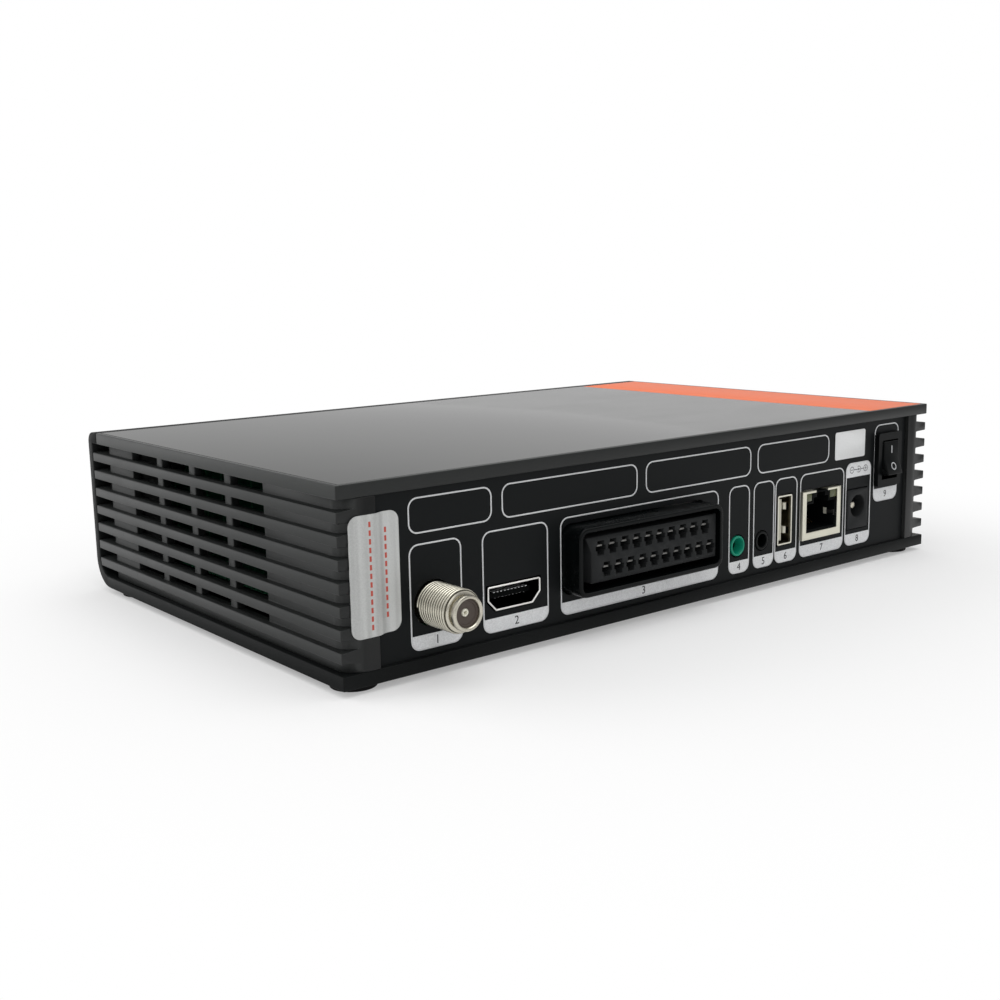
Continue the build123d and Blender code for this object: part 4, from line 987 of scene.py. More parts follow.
def outline_maker() -> Maker:
    """Builds the tree that draws a printed line round a rectangle with round corners.

    Returns:
        The tree.
    """
    maker = Maker("printed_outline", {
        "Width": "NodeSocketFloat", "Height": "NodeSocketFloat", "Corner": "NodeSocketFloat",
        "Line": "NodeSocketFloat", "Thickness": "NodeSocketFloat", "Centre": "NodeSocketVector",
        "Material": "NodeSocketMaterial",
    })
    box = maker.node("GeometryNodeCurvePrimitiveQuadrilateral", None, {
        "Width": maker.value("Width"), "Height": maker.value("Height"),
    })
    round_box = maker.node("GeometryNodeFilletCurve", {"mode": "POLY"}, {
        "Curve": maker.out(box), "Radius": maker.value("Corner"), "Count": 7,
    })
    section = maker.node("GeometryNodeCurvePrimitiveQuadrilateral", None, {
        "Width": maker.value("Line"), "Height": maker.value("Thickness"),
    })
    ribbon = maker.node("GeometryNodeCurveToMesh", None, {
        "Curve": maker.out(round_box), "Profile Curve": maker.out(section),
    })
    stood = maker.node("GeometryNodeTransform", None, {
        "Geometry": maker.out(ribbon), "Rotation": Euler((math.pi / 2, 0, 0)),
        "Translation": maker.value("Centre"),
    })
    maker.end(maker.out(stood))
    return maker


def thread_maker() -> Maker:
    """Builds the tree that winds a ridge round an axis along Y.

    Returns:
        The tree.
    """
    maker = Maker("thread", {
        "Turns": "NodeSocketFloat", "Radius": "NodeSocketFloat", "Length": "NodeSocketFloat",
        "Ridge": "NodeSocketFloat", "Start": "NodeSocketVector", "Material": "NodeSocketMaterial",
    })
    spiral = maker.node("GeometryNodeCurveSpiral", None, {
        "Resolution": 48, "Rotations": maker.value("Turns"),
        "Start Radius": maker.value("Radius"), "End Radius": maker.value("Radius"),
        "Height": maker.value("Length"),
    })
    upright = maker.node("GeometryNodeSetCurveNormal", {"mode": "Z_UP"}, {
        "Curve": maker.out(spiral),
    })
    section = maker.node("GeometryNodeCurvePrimitiveCircle", None, {
        "Resolution": 8, "Radius": maker.value("Ridge"),
    })
    ridge = maker.node("GeometryNodeCurveToMesh", None, {
        "Curve": maker.out(upright), "Profile Curve": maker.out(section), "Fill Caps": True,
    })
    turned = maker.node("GeometryNodeTransform", None, {
        "Geometry": maker.out(ridge), "Rotation": Euler((-math.pi / 2, 0, 0)),
        "Translation": maker.value("Start"),
    })
    maker.end(maker.out(turned))
    return maker


REARWARD = Matrix(((-1, 0, 0), (0, 0, 1), (0, 1, 0))).transposed()    # right, up and outwards
DIGIT_SHARE = 0.7                    # a digit's height as a share of its type size
DIGIT_DEPTH = 0.012                  # half the thickness of its ink


def digit_mesh(text: str, height: float, middle: Point) -> bpy.types.Mesh:
    """A thin printed number that faces the rear.

    Args:
        text: the number.
        height: its height in millimetres.
        middle: its middle, in millimetres.

    Returns:
        The mesh, in metres.
    """
    curve = bpy.data.curves.new("digit", "FONT")
    curve.body = text
    curve.size = height * MM / DIGIT_SHARE
    curve.extrude = DIGIT_DEPTH * MM
    curve.align_x = "CENTER"
    curve.align_y = "CENTER"
    curve.resolution_u = 3
    mesh = evaluated_mesh(in_scene("digit", curve))
    mesh.transform(Matrix.Translation(Vector(middle) * MM) @ REARWARD.to_4x4())
    return mesh


def lathe_mesh(
    profile: Sequence[tuple[float, float]], centre: tuple[float, float], steps: int = 64,
    closed: bool = True, smooth: bool = True,
) -> bpy.types.Mesh:
    """A shape turned about an axis along Y, as add_lathe takes it, in millimetres."""
    return mesh_of(lambda work: add_lathe(work, profile, centre, steps, closed), smooth)


def sleeve_mesh(
    corners: Sequence[tuple[float, float]], radius: float, profile: Sequence[tuple[float, float]]
) -> bpy.types.Mesh:
    """A socket shell, as add_sleeve takes it, in millimetres."""
    return mesh_of(lambda work: add_sleeve(work, corners, radius, profile), True)


def block_mesh(low: Sequence[float], high: Sequence[float]) -> bpy.types.Mesh:
    """A box between two corners, in millimetres."""
    return mesh_of(lambda work: add_block(work, low, high))


def prism_mesh(
    outline: Sequence[tuple[float, float]], low: float, high: float, axes: str = "xzy"
) -> bpy.types.Mesh:
    """A prism over an outline, in millimetres."""
    return mesh_of(lambda work: add_prism(work, outline, low, high, axes))


def flat_mesh(near: Sequence[float], far: Sequence[float], height: float) -> bpy.types.Mesh:
    """A flat rectangle that faces up, between two corners at a height, in millimetres.

    Args:
        near: X and Y of its low corner.
        far: X and Y of its high corner.
        height: its Z.

    Returns:
        The mesh, of one face.
    """
    corners = [(near[0], near[1]), (far[0], near[1]), (far[0], far[1]), (near[0], far[1])]
    return mesh_of(lambda work: work.faces.new([work.verts.new((x, y, height))
                                                for x, y in corners]))


def ring_mesh(
    middle: tuple[float, float], radius: float, line: float, low: float, high: float
) -> bpy.types.Mesh:
    """A flat printed ring round an axis along Y, in millimetres.

    Args:
        middle: X and Z of the axis.
        radius: its radius, to the middle of the line.
        line: the width of the line.
        low: Y of its back.
        high: Y of its face.

    Returns:
        The mesh.
    """
    inner, outer = radius - line / 2, radius + line / 2
    profile = [(inner, low), (outer, low), (outer, high), (inner, high)]
    return lathe_mesh(profile, middle, 40, smooth=False)


# ---- case -----------------------------------------------------------------------------------
@dataclass
class Housing:
    """Tray, lid, inlays, louvred sides, rear wall, feet, screws and stickers."""

    edge: float = 0.22
    fin_edge: float = 0.2
    inlay_edge: float = 0.08
    foot_edge: float = 0.3
    screw_head: float = 2.8
    screw_cross: tuple[float, float] = (3.0, 0.6)
    screw_depth: tuple[float, float] = (0.03, 0.2)
    label_edge: float = 0.04
    seal_sheet: float = 0.15
    seal_corner: float = 2.2
    seal_fold: tuple[float, float] = (2.4, 0.5)
    seal_columns: int = 48
    dash: tuple[float, float] = (0.5, 1.1)
    dash_pitch: float = 1.75
    dash_insets: tuple[float, float] = (3.3, 5.0)
    dash_counts: tuple[int, int] = (11, 13)
    ink: float = 0.02

    def build(self) -> None:
        """Builds every piece of the case."""
        refine("base_tray", "tray", Finish.CASE, self.edge)
        refine("top_cover", "lid", Finish.LID, self.edge)
        refine("lid_inlay", "lid_sheet", Finish.INLAY, self.inlay_edge)
        refine("accent_strip", "lid_strip", Finish.STRIP, self.inlay_edge)
        for side in ("right", "left"):
            refine(f"louvre_panel_{side}", f"louvres_{side}", Finish.LOUVRE,
                   self.fin_edge)
        dress("rear_wall", Finish.WALL)
        for end in ("front", "rear"):
            for side in ("left", "right"):
                refine(f"foot_{end}_{side}", f"pad_{end}_{side}", Finish.RUBBER,
                       self.foot_edge, 3)
        refine("rating_label", "label", Finish.LABEL, self.label_edge, 1)
        dress("case_screws", Finish.STEEL)
        self.screw_crosses()
        self.seal()
        self.seal_dashes()

    def screw_crosses(self) -> None:
        """Fills the cross recess of each case screw with a dark cross of painted shade."""
        low, high = box_mm("case_screws")
        reach, width = self.screw_cross
        out, into = self.screw_depth
        made = []
        for x in (low.x + self.screw_head, high.x - self.screw_head):
            for y in (low.y + self.screw_head, high.y - self.screw_head):
                for half_x, half_y in ((reach / 2, width / 2), (width / 2, reach / 2)):
                    made.append(block_mesh((x - half_x, y - half_y, low.z - out),
                                           (x + half_x, y + half_y, low.z + into)))
        new_piece("screw_crosses", made, Finish.GLYPH)

    def seal(self) -> None:
        """Lays the seal over the step from the post down to the rear wall."""
        low, high = box_mm("seal_sticker")
        post_y = high.y - self.seal_sheet
        post_x = box_mm("louvre_panel_right")[0].x
        fold_start, fold_end = post_x - self.seal_fold[0], post_x + self.seal_fold[1]

        def behind(x: float) -> float:
            """Where the sheet's back lies along Y: flat, an S-bend, and flat again."""
            share = min(1.0, max(0.0, (x - fold_start) / (fold_end - fold_start)))
            return WALL_Y + (post_y - WALL_Y) * share * share * (3 - 2 * share)

        def trim(x: float) -> float:
            """How far a round corner cuts the sheet's height at one place."""
            past = max(0.0, self.seal_corner - min(x - low.x, high.x - x))
            return self.seal_corner - math.sqrt(self.seal_corner**2 - past**2)

        def sheet(work: bmesh.types.BMesh) -> None:
            """Adds the sheet as columns of four corners.

            Args:
                work: the mesh to add to.
            """
            columns = []
            for i in range(self.seal_columns + 1):
                share = (1 - math.cos(math.pi * i / self.seal_columns)) / 2
                x = low.x + share * (high.x - low.x)
                y, cut = behind(x), trim(x)
                corners = ((y, low.z + cut), (y, high.z - cut),
                           (y + self.seal_sheet, high.z - cut), (y + self.seal_sheet, low.z + cut))
                columns.append([work.verts.new((x, along, z)) for along, z in corners])
            for near, far in zip(columns, columns[1:]):
                for i in range(4):
                    j = (i + 1) % 4
                    work.faces.new((near[i], near[j], far[j], far[i]))
            work.faces.new(columns[0])
            work.faces.new(columns[-1])

        new_piece("seal", mesh_of(sheet, True), Finish.SEAL,
                  stands_for=["seal_sticker"])

    def seal_dashes(self) -> None:
        """Prints a plain dashed red line down each half of the seal."""
        low, high = box_mm("seal_sticker")
        width, length = self.dash
        places = (low.x + self.dash_insets[0], high.x - self.dash_insets[1])
        faces = (WALL_Y + self.seal_sheet, high.y)
        made = []
        for x, face, count in zip(places, faces, self.dash_counts):
            dash = block_mesh((x - width / 2, face - self.ink, -length / 2),
                              (x + width / 2, face + self.ink, length / 2))
            start = (low.z + high.z - (count - 1) * self.dash_pitch) / 2
            made.append(in_a_row(dash, count, (0, 0, start), (0, 0, self.dash_pitch), Finish.RED))
        new_piece("seal_dashes", made, Finish.RED)


# ---- print on the rear wall -----------------------------------------------------------------
@dataclass
class Bay:
    """A printed bay of the rear wall: X and Z of its corners, in millimetres."""

    left: float
    right: float
    low: float = 5.93
    high: float = 28.54
    bands: tuple[tuple[float, float], ...] = ((5.93, 9.15),)


@dataclass
class RearPrint:
    """Fine lines round the sockets, silver bands with numbers, and the polarity sign."""

    line: float = 0.34
    corner: float = 2.3
    thick: float = 0.05
    band_thick: float = 0.04
    digit: float = 1.9
    sign_radius: float = 0.85
    sign_line: float = 0.2
    sign_pitch: float = 3.1
    sign_arm: float = 0.55
    sign_dot: float = 0.32
    sign_step: float = 0.002

    BAYS: ClassVar[tuple[Bay, ...]] = (
        Bay(69.34, 82.81), Bay(45.13, 63.82), Bay(-11.44, 41.51, bands=((5.93, 8.94),)),
        Bay(-23.30, -15.36), Bay(-33.05, -24.81), Bay(-42.49, -33.45), Bay(-62.79, -43.70),
        Bay(-75.05, -63.59, 6.03, 29.24, ((6.03, 9.3), (25.2, 29.24))),
        Bay(-87.61, -76.35, 16.88, 38.79, ((16.88, 20.6),)),
    )
    BOXES: ClassVar[tuple[Bay, ...]] = (
        Bay(60.90, 82.71, 30.65, 38.28), Bay(17.09, 58.19, 30.65, 38.28),
        Bay(-23.60, 14.38, 30.65, 38.28), Bay(-55.75, -26.11, 30.65, 38.28),
    )
    POWER_BAY: ClassVar[int] = 7

    def build(self) -> None:
        """Prints the outlines, the bands, the numbers and the sign."""
        self.outlines()
        self.bands()
        self.digits()
        self.polarity()

    def outlines(self) -> None:
        """Draws a line round each bay and each box."""
        maker = outline_maker()
        drawn = []
        for bay in (*self.BAYS, *self.BOXES):
            drawn.append(maker.run({
                "Width": (bay.right - bay.left - self.line) * MM,
                "Height": (bay.high - bay.low - self.line) * MM,
                "Corner": (self.corner - self.line / 2) * MM,
                "Line": self.line * MM,
                "Thickness": self.thick * MM,
                "Centre": Vector(((bay.left + bay.right) / 2, WALL_Y + self.thick / 2,
                                  (bay.low + bay.high) / 2)) * MM,
                "Material": Finish.LINE.material(),
            }))
        new_piece("printed_lines", drawn, Finish.LINE)

    def bands(self) -> None:
        """Fills the bands, round where they meet the bay's corners."""
        made = []
        for bay in self.BAYS:
            corners = box_corners((bay.left, 0, bay.low), (bay.right, 0, bay.high))
            outline = rounded_polygon(corners, self.corner)
            for low, high in bay.bands:
                made.append(prism_mesh(clipped(outline, low, high), WALL_Y,
                                       WALL_Y + self.band_thick))
        new_piece("printed_bands", made, Finish.INK)

    def digits(self) -> None:
        """Prints a plain number in each bay's lowest band."""
        made = []
        for number, bay in enumerate(self.BAYS, start=1):
            low, high = bay.bands[0]
            middle = ((bay.left + bay.right) / 2, WALL_Y + self.thick, (low + high) / 2)
            made.append(digit_mesh(str(number), self.digit, middle))
        new_piece("printed_numbers", made, Finish.GLYPH)

    def polarity(self) -> None:
        """Prints the sign for a positive pin: minus, an open ring round a dot, plus."""
        bay = self.BAYS[self.POWER_BAY]
        x, z = (bay.left + bay.right) / 2, sum(bay.bands[1]) / 2
        low, high = WALL_Y, WALL_Y + self.thick
        radius, half = self.sign_radius, self.sign_line / 2
        made = []

        def bar(x0: float, x1: float, upright: float = 0.0) -> None:
            """Adds a level line, and an upright one across its middle.

            Args:
                x0: where the level line starts.
                x1: where it ends.
                upright: half the length of the upright line, or 0 for none.
            """
            made.append(block_mesh((x0, low, z - half), (x1, high, z + half)))
            if upright:
                centre = (x0 + x1) / 2
                made.append(block_mesh((centre - half, low, z - upright),
                                       (centre + half, high + self.sign_step, z + upright)))

        for side in (-1, 1):
            centre = x + side * self.sign_pitch
            made.append(ring_mesh((centre, z), radius, self.sign_line, low, high))
            arm = radius * self.sign_arm
            bar(centre - arm, centre + arm, arm if side < 0 else 0.0)
        bar(x, x + self.sign_pitch - radius)
        bar(x - self.sign_pitch + radius, x - radius)
        top = high + self.sign_step
        dot = [(0, low), (self.sign_dot, low), (self.sign_dot, top), (0, top)]
        made.append(lathe_mesh(dot, (x, z), 20, closed=False, smooth=False))
        turns = [math.radians(50 + 260 * i / 20) for i in range(21)]
        arc = [(x + reach * math.cos(t), z + reach * math.sin(t))
               for reach, way in ((radius + half, turns), (radius - half, turns[::-1]))
               for t in way]
        made.append(prism_mesh(arc, low, high + self.sign_step / 2))
        new_piece("polarity_sign", made, Finish.GREY)


def clipped(
    outline: Sequence[tuple[float, float]], low: float, high: float
) -> list[tuple[float, float]]:
    """The part of a convex outline between two heights.

    Args:
        outline: its corners, in order.
        low: the lower height.
        high: the upper height.

    Returns:
        The corners of that part.
    """
    kept = list(outline)
    for level, sign in ((low, 1.0), (high, -1.0)):
        result = []
        for near, far in zip(kept, kept[1:] + kept[:1]):
            before, after = sign * (near[1] - level), sign * (far[1] - level)
            if before >= 0:
                result.append(near)
            if before * after < 0:
                share = before / (before - after)
                result.append((near[0] + share * (far[0] - near[0]), level))
        kept = result
    return kept


# ---- sockets --------------------------------------------------------------------------------
def stamped_section(back: float, front: float, wall: float) -> list[tuple[float, float]]:
    """The section of a thin stamped shell, as add_sleeve takes it.

    Args:
        back: Y of its hidden end.
        front: Y of its mouth.
        wall: its thickness.

    Returns:
        How far the shell is inset, and its Y, at each turn.
    """
    edge = 0.08
    return [(0, back), (0, front - edge), (edge, front), (wall - edge, front),
            (wall, front - edge), (wall, back + wall)]


@dataclass
class AerialSocket:
    """Threaded socket with a bright nose, its insulator and its centre contact."""

    pitch: float = 0.794
    ridge: float = 0.36
    outer: float = 4.76
    flange: float = 1.2
    thread: float = 10.1
    thread_start: float = 0.4
    thread_end: float = 0.5
    groove: float = 0.7
    relief: float = 0.45
    nose: float = 3.8
    funnel: float = 1.5
    contact: float = 0.85
    contact_hole: float = 0.32
    contact_length: float = 3.0

    def build(self) -> None:
        """Turns the body, winds the thread and fills the bore."""
        low, high = box_mm("aerial_socket")
        plug_low, plug_high = box_mm("aerial_insulator")
        middle = (plug_low + plug_high) / 2
        centre = (middle.x, middle.z)
        bore = (plug_high.x - plug_low.x) / 2
        root = self.outer - self.ridge - 0.1
        tip, collar = high.y, WALL_Y + self.thread
        neck = self.nose - self.relief
        section = [
            (self.outer, low.y), (self.outer, low.y + self.flange),
            (root, low.y + self.flange + 0.2), (root, collar - 0.25), (root - 0.35, collar),
            (neck, collar + 0.05), (neck, collar + self.groove),
            (self.nose, collar + self.groove + 0.1), (self.nose, tip - 0.4),
            (self.nose - 0.12, tip - 0.12), (self.nose - 0.4, tip),
            (bore + 0.15, tip - 0.05), (bore, tip - 0.25), (bore, low.y + 0.1),
        ]
        new_piece("aerial_body", lathe_mesh(section, centre), Finish.NICKEL,
                  stands_for=["aerial_socket"])
        self.wind(centre, collar)
        self.fill(centre, bore, plug_low.y, plug_high.y)
        dress("tuner_can", Finish.TIN)

    def wind(self, centre: tuple[float, float], collar: float) -> None:
        """Winds the thread's ridge from the wall to the collar.

        Args:
            centre: X and Z of the socket's axis.
            collar: Y of the thread's end.
        """
        length = collar - WALL_Y - self.thread_start - self.thread_end
        thread = thread_maker().run({
            "Turns": length / self.pitch, "Radius": (self.outer - self.ridge) * MM,
            "Length": length * MM, "Ridge": self.ridge * MM,
            "Start": Vector((centre[0], WALL_Y + self.thread_start, centre[1])) * MM,
            "Material": Finish.THREAD.material(),
        })
        thread.shade_smooth()
        thread.set_sharp_from_angle(angle=math.radians(60))
        new_piece("aerial_thread", thread, Finish.THREAD)

    def fill(self, centre: tuple[float, float], bore: float, back: float, face: float) -> None:
        """Makes the insulator with its funnel, and the split contact at the funnel's end.

        Args:
            centre: X and Z of the socket's axis.
            bore: radius of the insulator.
            back: Y of its hidden end.
            face: Y of its outer face.
        """
        plug = [(bore, back), (bore, face), (bore - 0.5, face), (bore - 0.6, face - 0.2),
                (self.funnel, face - 0.25), (self.contact + 0.05, face - 0.6),
                (self.contact, back)]
        contact = [
            (self.contact, face - self.contact_length), (self.contact, face - 0.5),
            (self.contact - 0.11, face - 0.34), (self.contact_hole + 0.1, face - 0.34),
            (self.contact_hole, face - 0.5), (self.contact_hole, face - self.contact_length),
        ]
        new_piece("aerial_plug", lathe_mesh(plug, centre, 48), Finish.INSULATOR,
                  stands_for=["aerial_insulator"])
        # the split contact is made pale as a painted highlight
        new_piece("aerial_contact", lathe_mesh(contact, centre, 24), Finish.SPRING)


@dataclass
class VideoSockets:
    """HDMI socket and the wide 21-way video socket."""

    scart_corner: float = 2.6
    scart_wall: float = 1.1
    scart_lip: float = 0.45
    scart_deep: float = 12.0
    hdmi_corner: float = 0.55
    hdmi_foot: float = 10.4
    hdmi_shoulder: float = 2.4
    hdmi_wall: float = 0.4
    tongue_rise: float = 0.3
    tongue_half: float = 0.65
    contact_pitch: float = 1.0
    contact_width: float = 0.44
    contact_length: float = 6.0
    contact_proud: float = 0.08
    contact_setback: float = 0.25

    def build(self) -> None:
        """Builds both sockets."""
        refine("hdmi_tongue", "hdmi_tongue_block", Finish.DARK, 0.12)
        self.scart_shell()
        refine("scart_core", "scart_block", Finish.CORE, 0.07, 1)
        refine("scart_contacts", "scart_springs", Finish.CONTACT, 0.12)
        self.hdmi_shell()
        self.hdmi_contacts()

    def hdmi_shell(self) -> None:
        """The thin shell of the HDMI socket, narrower at its foot."""
        low, high = box_mm("hdmi_shell")
        half = (high.x - low.x - self.hdmi_foot) / 2
        shoulder = low.z + self.hdmi_shoulder
        corners = [(low.x + half, low.z), (high.x - half, low.z), (high.x, shoulder),
                   (high.x, high.z), (low.x, high.z), (low.x, shoulder)]
        mesh = sleeve_mesh(corners, self.hdmi_corner,
                           stamped_section(low.y, high.y, self.hdmi_wall))
        new_piece("hdmi_mouth", mesh, Finish.RIM, stands_for=["hdmi_shell"])

    def scart_shell(self) -> None:
        """The proud shell of the video socket, round at its mouth."""
        low, high = box_mm("scart_shell")
        wall, lip = self.scart_wall, self.scart_lip
        turns = [math.radians(18 * i) for i in range(6)]
        section = [(0, low.y)]
        section += [(lip - lip * math.cos(t), high.y - lip + lip * math.sin(t)) for t in turns]
        section += [(wall - 0.15, high.y), (wall, high.y - 0.15), (wall, high.y - self.scart_deep)]
        mesh = sleeve_mesh(box_corners(low, high), self.scart_corner, section)
        new_piece("scart_mouth", mesh, Finish.SOCKET, stands_for=["scart_shell"])

    def hdmi_contacts(self) -> None:
        """Two rows of flat contacts on the tongue, the upper one up to its front edge."""
        face = box_mm("hdmi_tongue")[1].y
        shell = middle_mm("hdmi_shell")
        half = self.contact_width / 2
        made = []
        for side, count, front in ((1, 10, face + 0.03), (-1, 9, face - self.contact_setback)):
            z = shell.z + self.tongue_rise + side * self.tongue_half
            ends = sorted((z - side * 0.08, z + side * self.contact_proud))
            strip = block_mesh((-half, face - self.contact_length, ends[0]),
                               (half, front, ends[1]))
            start = shell.x - (count - 1) / 2 * self.contact_pitch
            made.append(in_a_row(strip, count, (start, 0, 0), (self.contact_pitch, 0, 0),
                                 Finish.INK))
        new_piece("hdmi_contacts", made, Finish.INK)


@dataclass
class DataSockets:
    """USB and network sockets."""

    usb_wall: float = 0.4
    usb_corner: float = 0.5
    tongue_face: float = -35.0
    tongue_thick: float = 2.1
    tongue_gap: float = 0.7
    contact_first: float = 3.5
    contact_pitch: float = 2.33
    contact_length: float = 8.0
    spring_width: float = 1.8
    spring_rise: float = 0.6
    spring_reach: float = 3.2
    port_half: float = 5.9
    port_floor: float = 2.6
    wire_first: float = 3.57
    wire_pitch: float = 1.02
    wire_half: float = 0.22
    tab_height: float = 5.2
    tab_size: float = 1.7

    def build(self) -> None:
        """Builds both sockets with their contacts."""
        self.usb_body()
        refine("ethernet_shell", "network_mouth", Finish.SHELL, 0.06)
        refine("ethernet_insert", "network_block", Finish.DARK, 0.08, 1)
        refine("ethernet_lamps", "network_lamps", Finish.LAMP, 0.15)
        self.usb_contacts()
        self.usb_springs()
        self.network_contacts()
        self.network_tabs()

    def usb_body(self) -> None:
        """The thin shell of the USB socket and its tongue, narrower at the front."""
        low, high = box_mm("usb_shell")
        mesh = sleeve_mesh(box_corners(low, high), self.usb_corner,
                           stamped_section(low.y, high.y, self.usb_wall))
        new_piece("usb_mouth", mesh, Finish.USB, stands_for=["usb_shell"])
        back, tip = box_mm("usb_tongue")
        face, rear = self.tongue_face, self.tongue_face - self.tongue_thick
        blade = [(rear, back.y), (face, back.y), (face, tip.y - 0.8), (face - 0.25, tip.y - 0.2),
                 (rear + 0.2, tip.y - 0.2), (rear, tip.y - 0.8)]
        mesh = prism_mesh(blade, back.z + self.tongue_gap, tip.z - self.tongue_gap, "xyz")
        new_piece("usb_blade", mesh, Finish.TONGUE, stands_for=["usb_tongue"])

    def usb_contacts(self) -> None:
        """Four flat contacts on the tongue's side that faces the wider gap."""
        face = self.tongue_face - self.tongue_thick
        front = box_mm("usb_tongue")[1].y - 1.0
        strip = block_mesh((face - 0.15, front - self.contact_length, -0.5),
                           (face + 0.02, front, 0.5))
        first = middle_mm("usb_shell").z - self.contact_first
        made = in_a_row(strip, 4, (0, 0, first), (0, 0, self.contact_pitch), Finish.BRASS)
        new_piece("usb_contacts", made, Finish.BRASS)

    def usb_springs(self) -> None:
        """Two springs pressed out of the shell's wall, pale as a painted highlight, each behind a
        dark sheet of painted shade where its cut-out is.
        """
        low, high = box_mm("usb_shell")
        half, wall, front = self.spring_width / 2, low.x + self.usb_wall, high.y
        crest = wall + self.spring_rise
        arch = [(wall - 0.1, front - 4.2), (crest, front - 3.4), (crest, front - 2.2),
                (wall - 0.1, front - 1.7)]
        spring = prism_mesh(arch, -half, half, "xyz")
        # painted shade: a dark sheet where the cut-out beside each spring shows only shade
        cutout_shade = block_mesh((wall - 0.1, front - 1.65, -half), (wall + 0.03, front - 0.9, half))
        first = (low.z + high.z) / 2 - self.spring_reach
        places = (2, (0, 0, first), (0, 0, 2 * self.spring_reach))
        # the springs are made pale as a painted highlight
        new_piece("usb_springs", in_a_row(spring, *places, Finish.SPRING), Finish.SPRING)
        new_piece("usb_cutout_shade", in_a_row(cutout_shade, *places, Finish.DARK), Finish.DARK)

    def network_contacts(self) -> None:
        """Eight spring contacts that slope up from the floor of the opening."""
        low, high = box_mm("ethernet_shell")
        front, back, floor = high.y - 6.0, high.y - 11.5, low.z + self.port_floor
        slope = [(front, floor + 0.05), (front, floor + 0.35), (back, floor + 3.3),
                 (back, floor + 3.0)]
        spring = prism_mesh(slope, -self.wire_half, self.wire_half, "yzx")
        first = (low.x + high.x) / 2 - self.wire_first
        made = in_a_row(spring, 8, (first, 0, 0), (self.wire_pitch, 0, 0), Finish.BRASS)
        new_piece("network_contacts", made, Finish.BRASS)

    def network_tabs(self) -> None:
        """The spring of the shield on the side of the opening: its end pale as a painted highlight,
        on a strip of the same spring dimmed as painted shade.
        """
        low, high = box_mm("ethernet_shell")
        wall = middle_mm("ethernet_shell").x - self.port_half
        base = low.z + self.tab_height
        middle = base + self.tab_size / 2
        tab = block_mesh((wall - 0.1, high.y - 3.95, base),
                         (wall + 0.08, high.y - 2.95, base + self.tab_size))
        new_piece("network_tab", tab, Finish.SPRING)
        # painted shade: the rest of the spring in a dim metal
        strips = [
            block_mesh((wall - 0.1, high.y - start, middle - half),
                       (wall + 0.05, high.y - end, middle + half))
            for start, end, half in ((2.9, 1.2, 0.4), (1.15, 0.45, 0.8))
        ]
        new_piece("network_strip", strips, Finish.CONTACT)


@dataclass
class RoundSockets:
    """The two jacks and the power inlet."""

    ring_radius: float = 2.6
    ring_proud: float = 0.35

    def build(self) -> None:
        """Dresses the jacks and the inlet."""
        dress("av_jack", Finish.DARK)
        self.sleeve()
        refine("data_jack", "data_ring", Finish.SOCKET, 0.12, 2)
        refine("dc_socket", "power_inlet", Finish.CORE, 0.25, 3)
        refine("dc_pin", "power_pin", Finish.NICKEL, 0.35, 3)

    def sleeve(self) -> None:
        """The thin coloured sleeve of the audio and video jack."""
        back = box_mm("av_jack_sleeve")[0].y
        middle = middle_mm("av_jack_sleeve")
        outer, front = self.ring_radius, WALL_Y + self.ring_proud
        section = [(outer, back), (outer, front - 0.15), (outer - 0.15, front),
                   (outer - 0.45, front), (outer - 0.6, front - 0.2), (outer - 0.9, back)]
        new_piece("av_ring", lathe_mesh(section, (middle.x, middle.z)), Finish.SLEEVE,
                  stands_for=["av_jack_sleeve"])


@dataclass
class PowerSwitch:
    """Rocker switch with its marks, terminals and leads.

    The face is how far the rocker's crest stands off its pivot, and the dip how far each half
    falls towards the middle.
    """

    face: float = 3.3
    dip: float = 0.7
    half: float = 4.75
    tilt: float = 10.0
    bar: tuple[float, float] = (0.3, 2.1)
    ring: float = 0.95
    line: float = 0.28
    proud: float = 0.04

    def build(self) -> None:
        """Builds the frame, the rocker and its marks."""
        dress("switch_housing", Finish.SWITCH)
        refine("switch_rocker", "rocker", Finish.SWITCH, 0.3, 3, "rocker")
        dress("switch_terminals", Finish.BRASS)
        dress("switch_leads", Finish.JACKET)
        dress("switch_header", Finish.HEADER)
        self.marks()

    def marks(self) -> None:
        """Prints the on mark on the rocker's upper half and the off mark on its lower half."""
        joint = next(j for j in frame["record"]["behaviour"]["joints"]
                     if j["name"] == "power_rocker")
        width, height = (side / 2 for side in self.bar)
        bar = block_mesh((-width, 0, -height), (width, self.proud, height))
        ring = ring_mesh((0, 0), self.ring, self.line, 0, self.proud)
        slope = math.atan2(self.dip, self.half)
        for mesh, side in ((bar, 1), (ring, -1)):
            middle = Vector((0, self.face - self.dip / 2, side * self.half / 2)) * MM
            mesh.transform(
                Matrix.Translation(joint["pos_m"])
                @ Matrix.Rotation(math.radians(self.tilt), 4, "X")
                @ Matrix.Translation(middle) @ Matrix.Rotation(-side * slope, 4, "X")
            )
        new_piece("rocker_marks", [bar, ring], Finish.WHITE, "rocker")


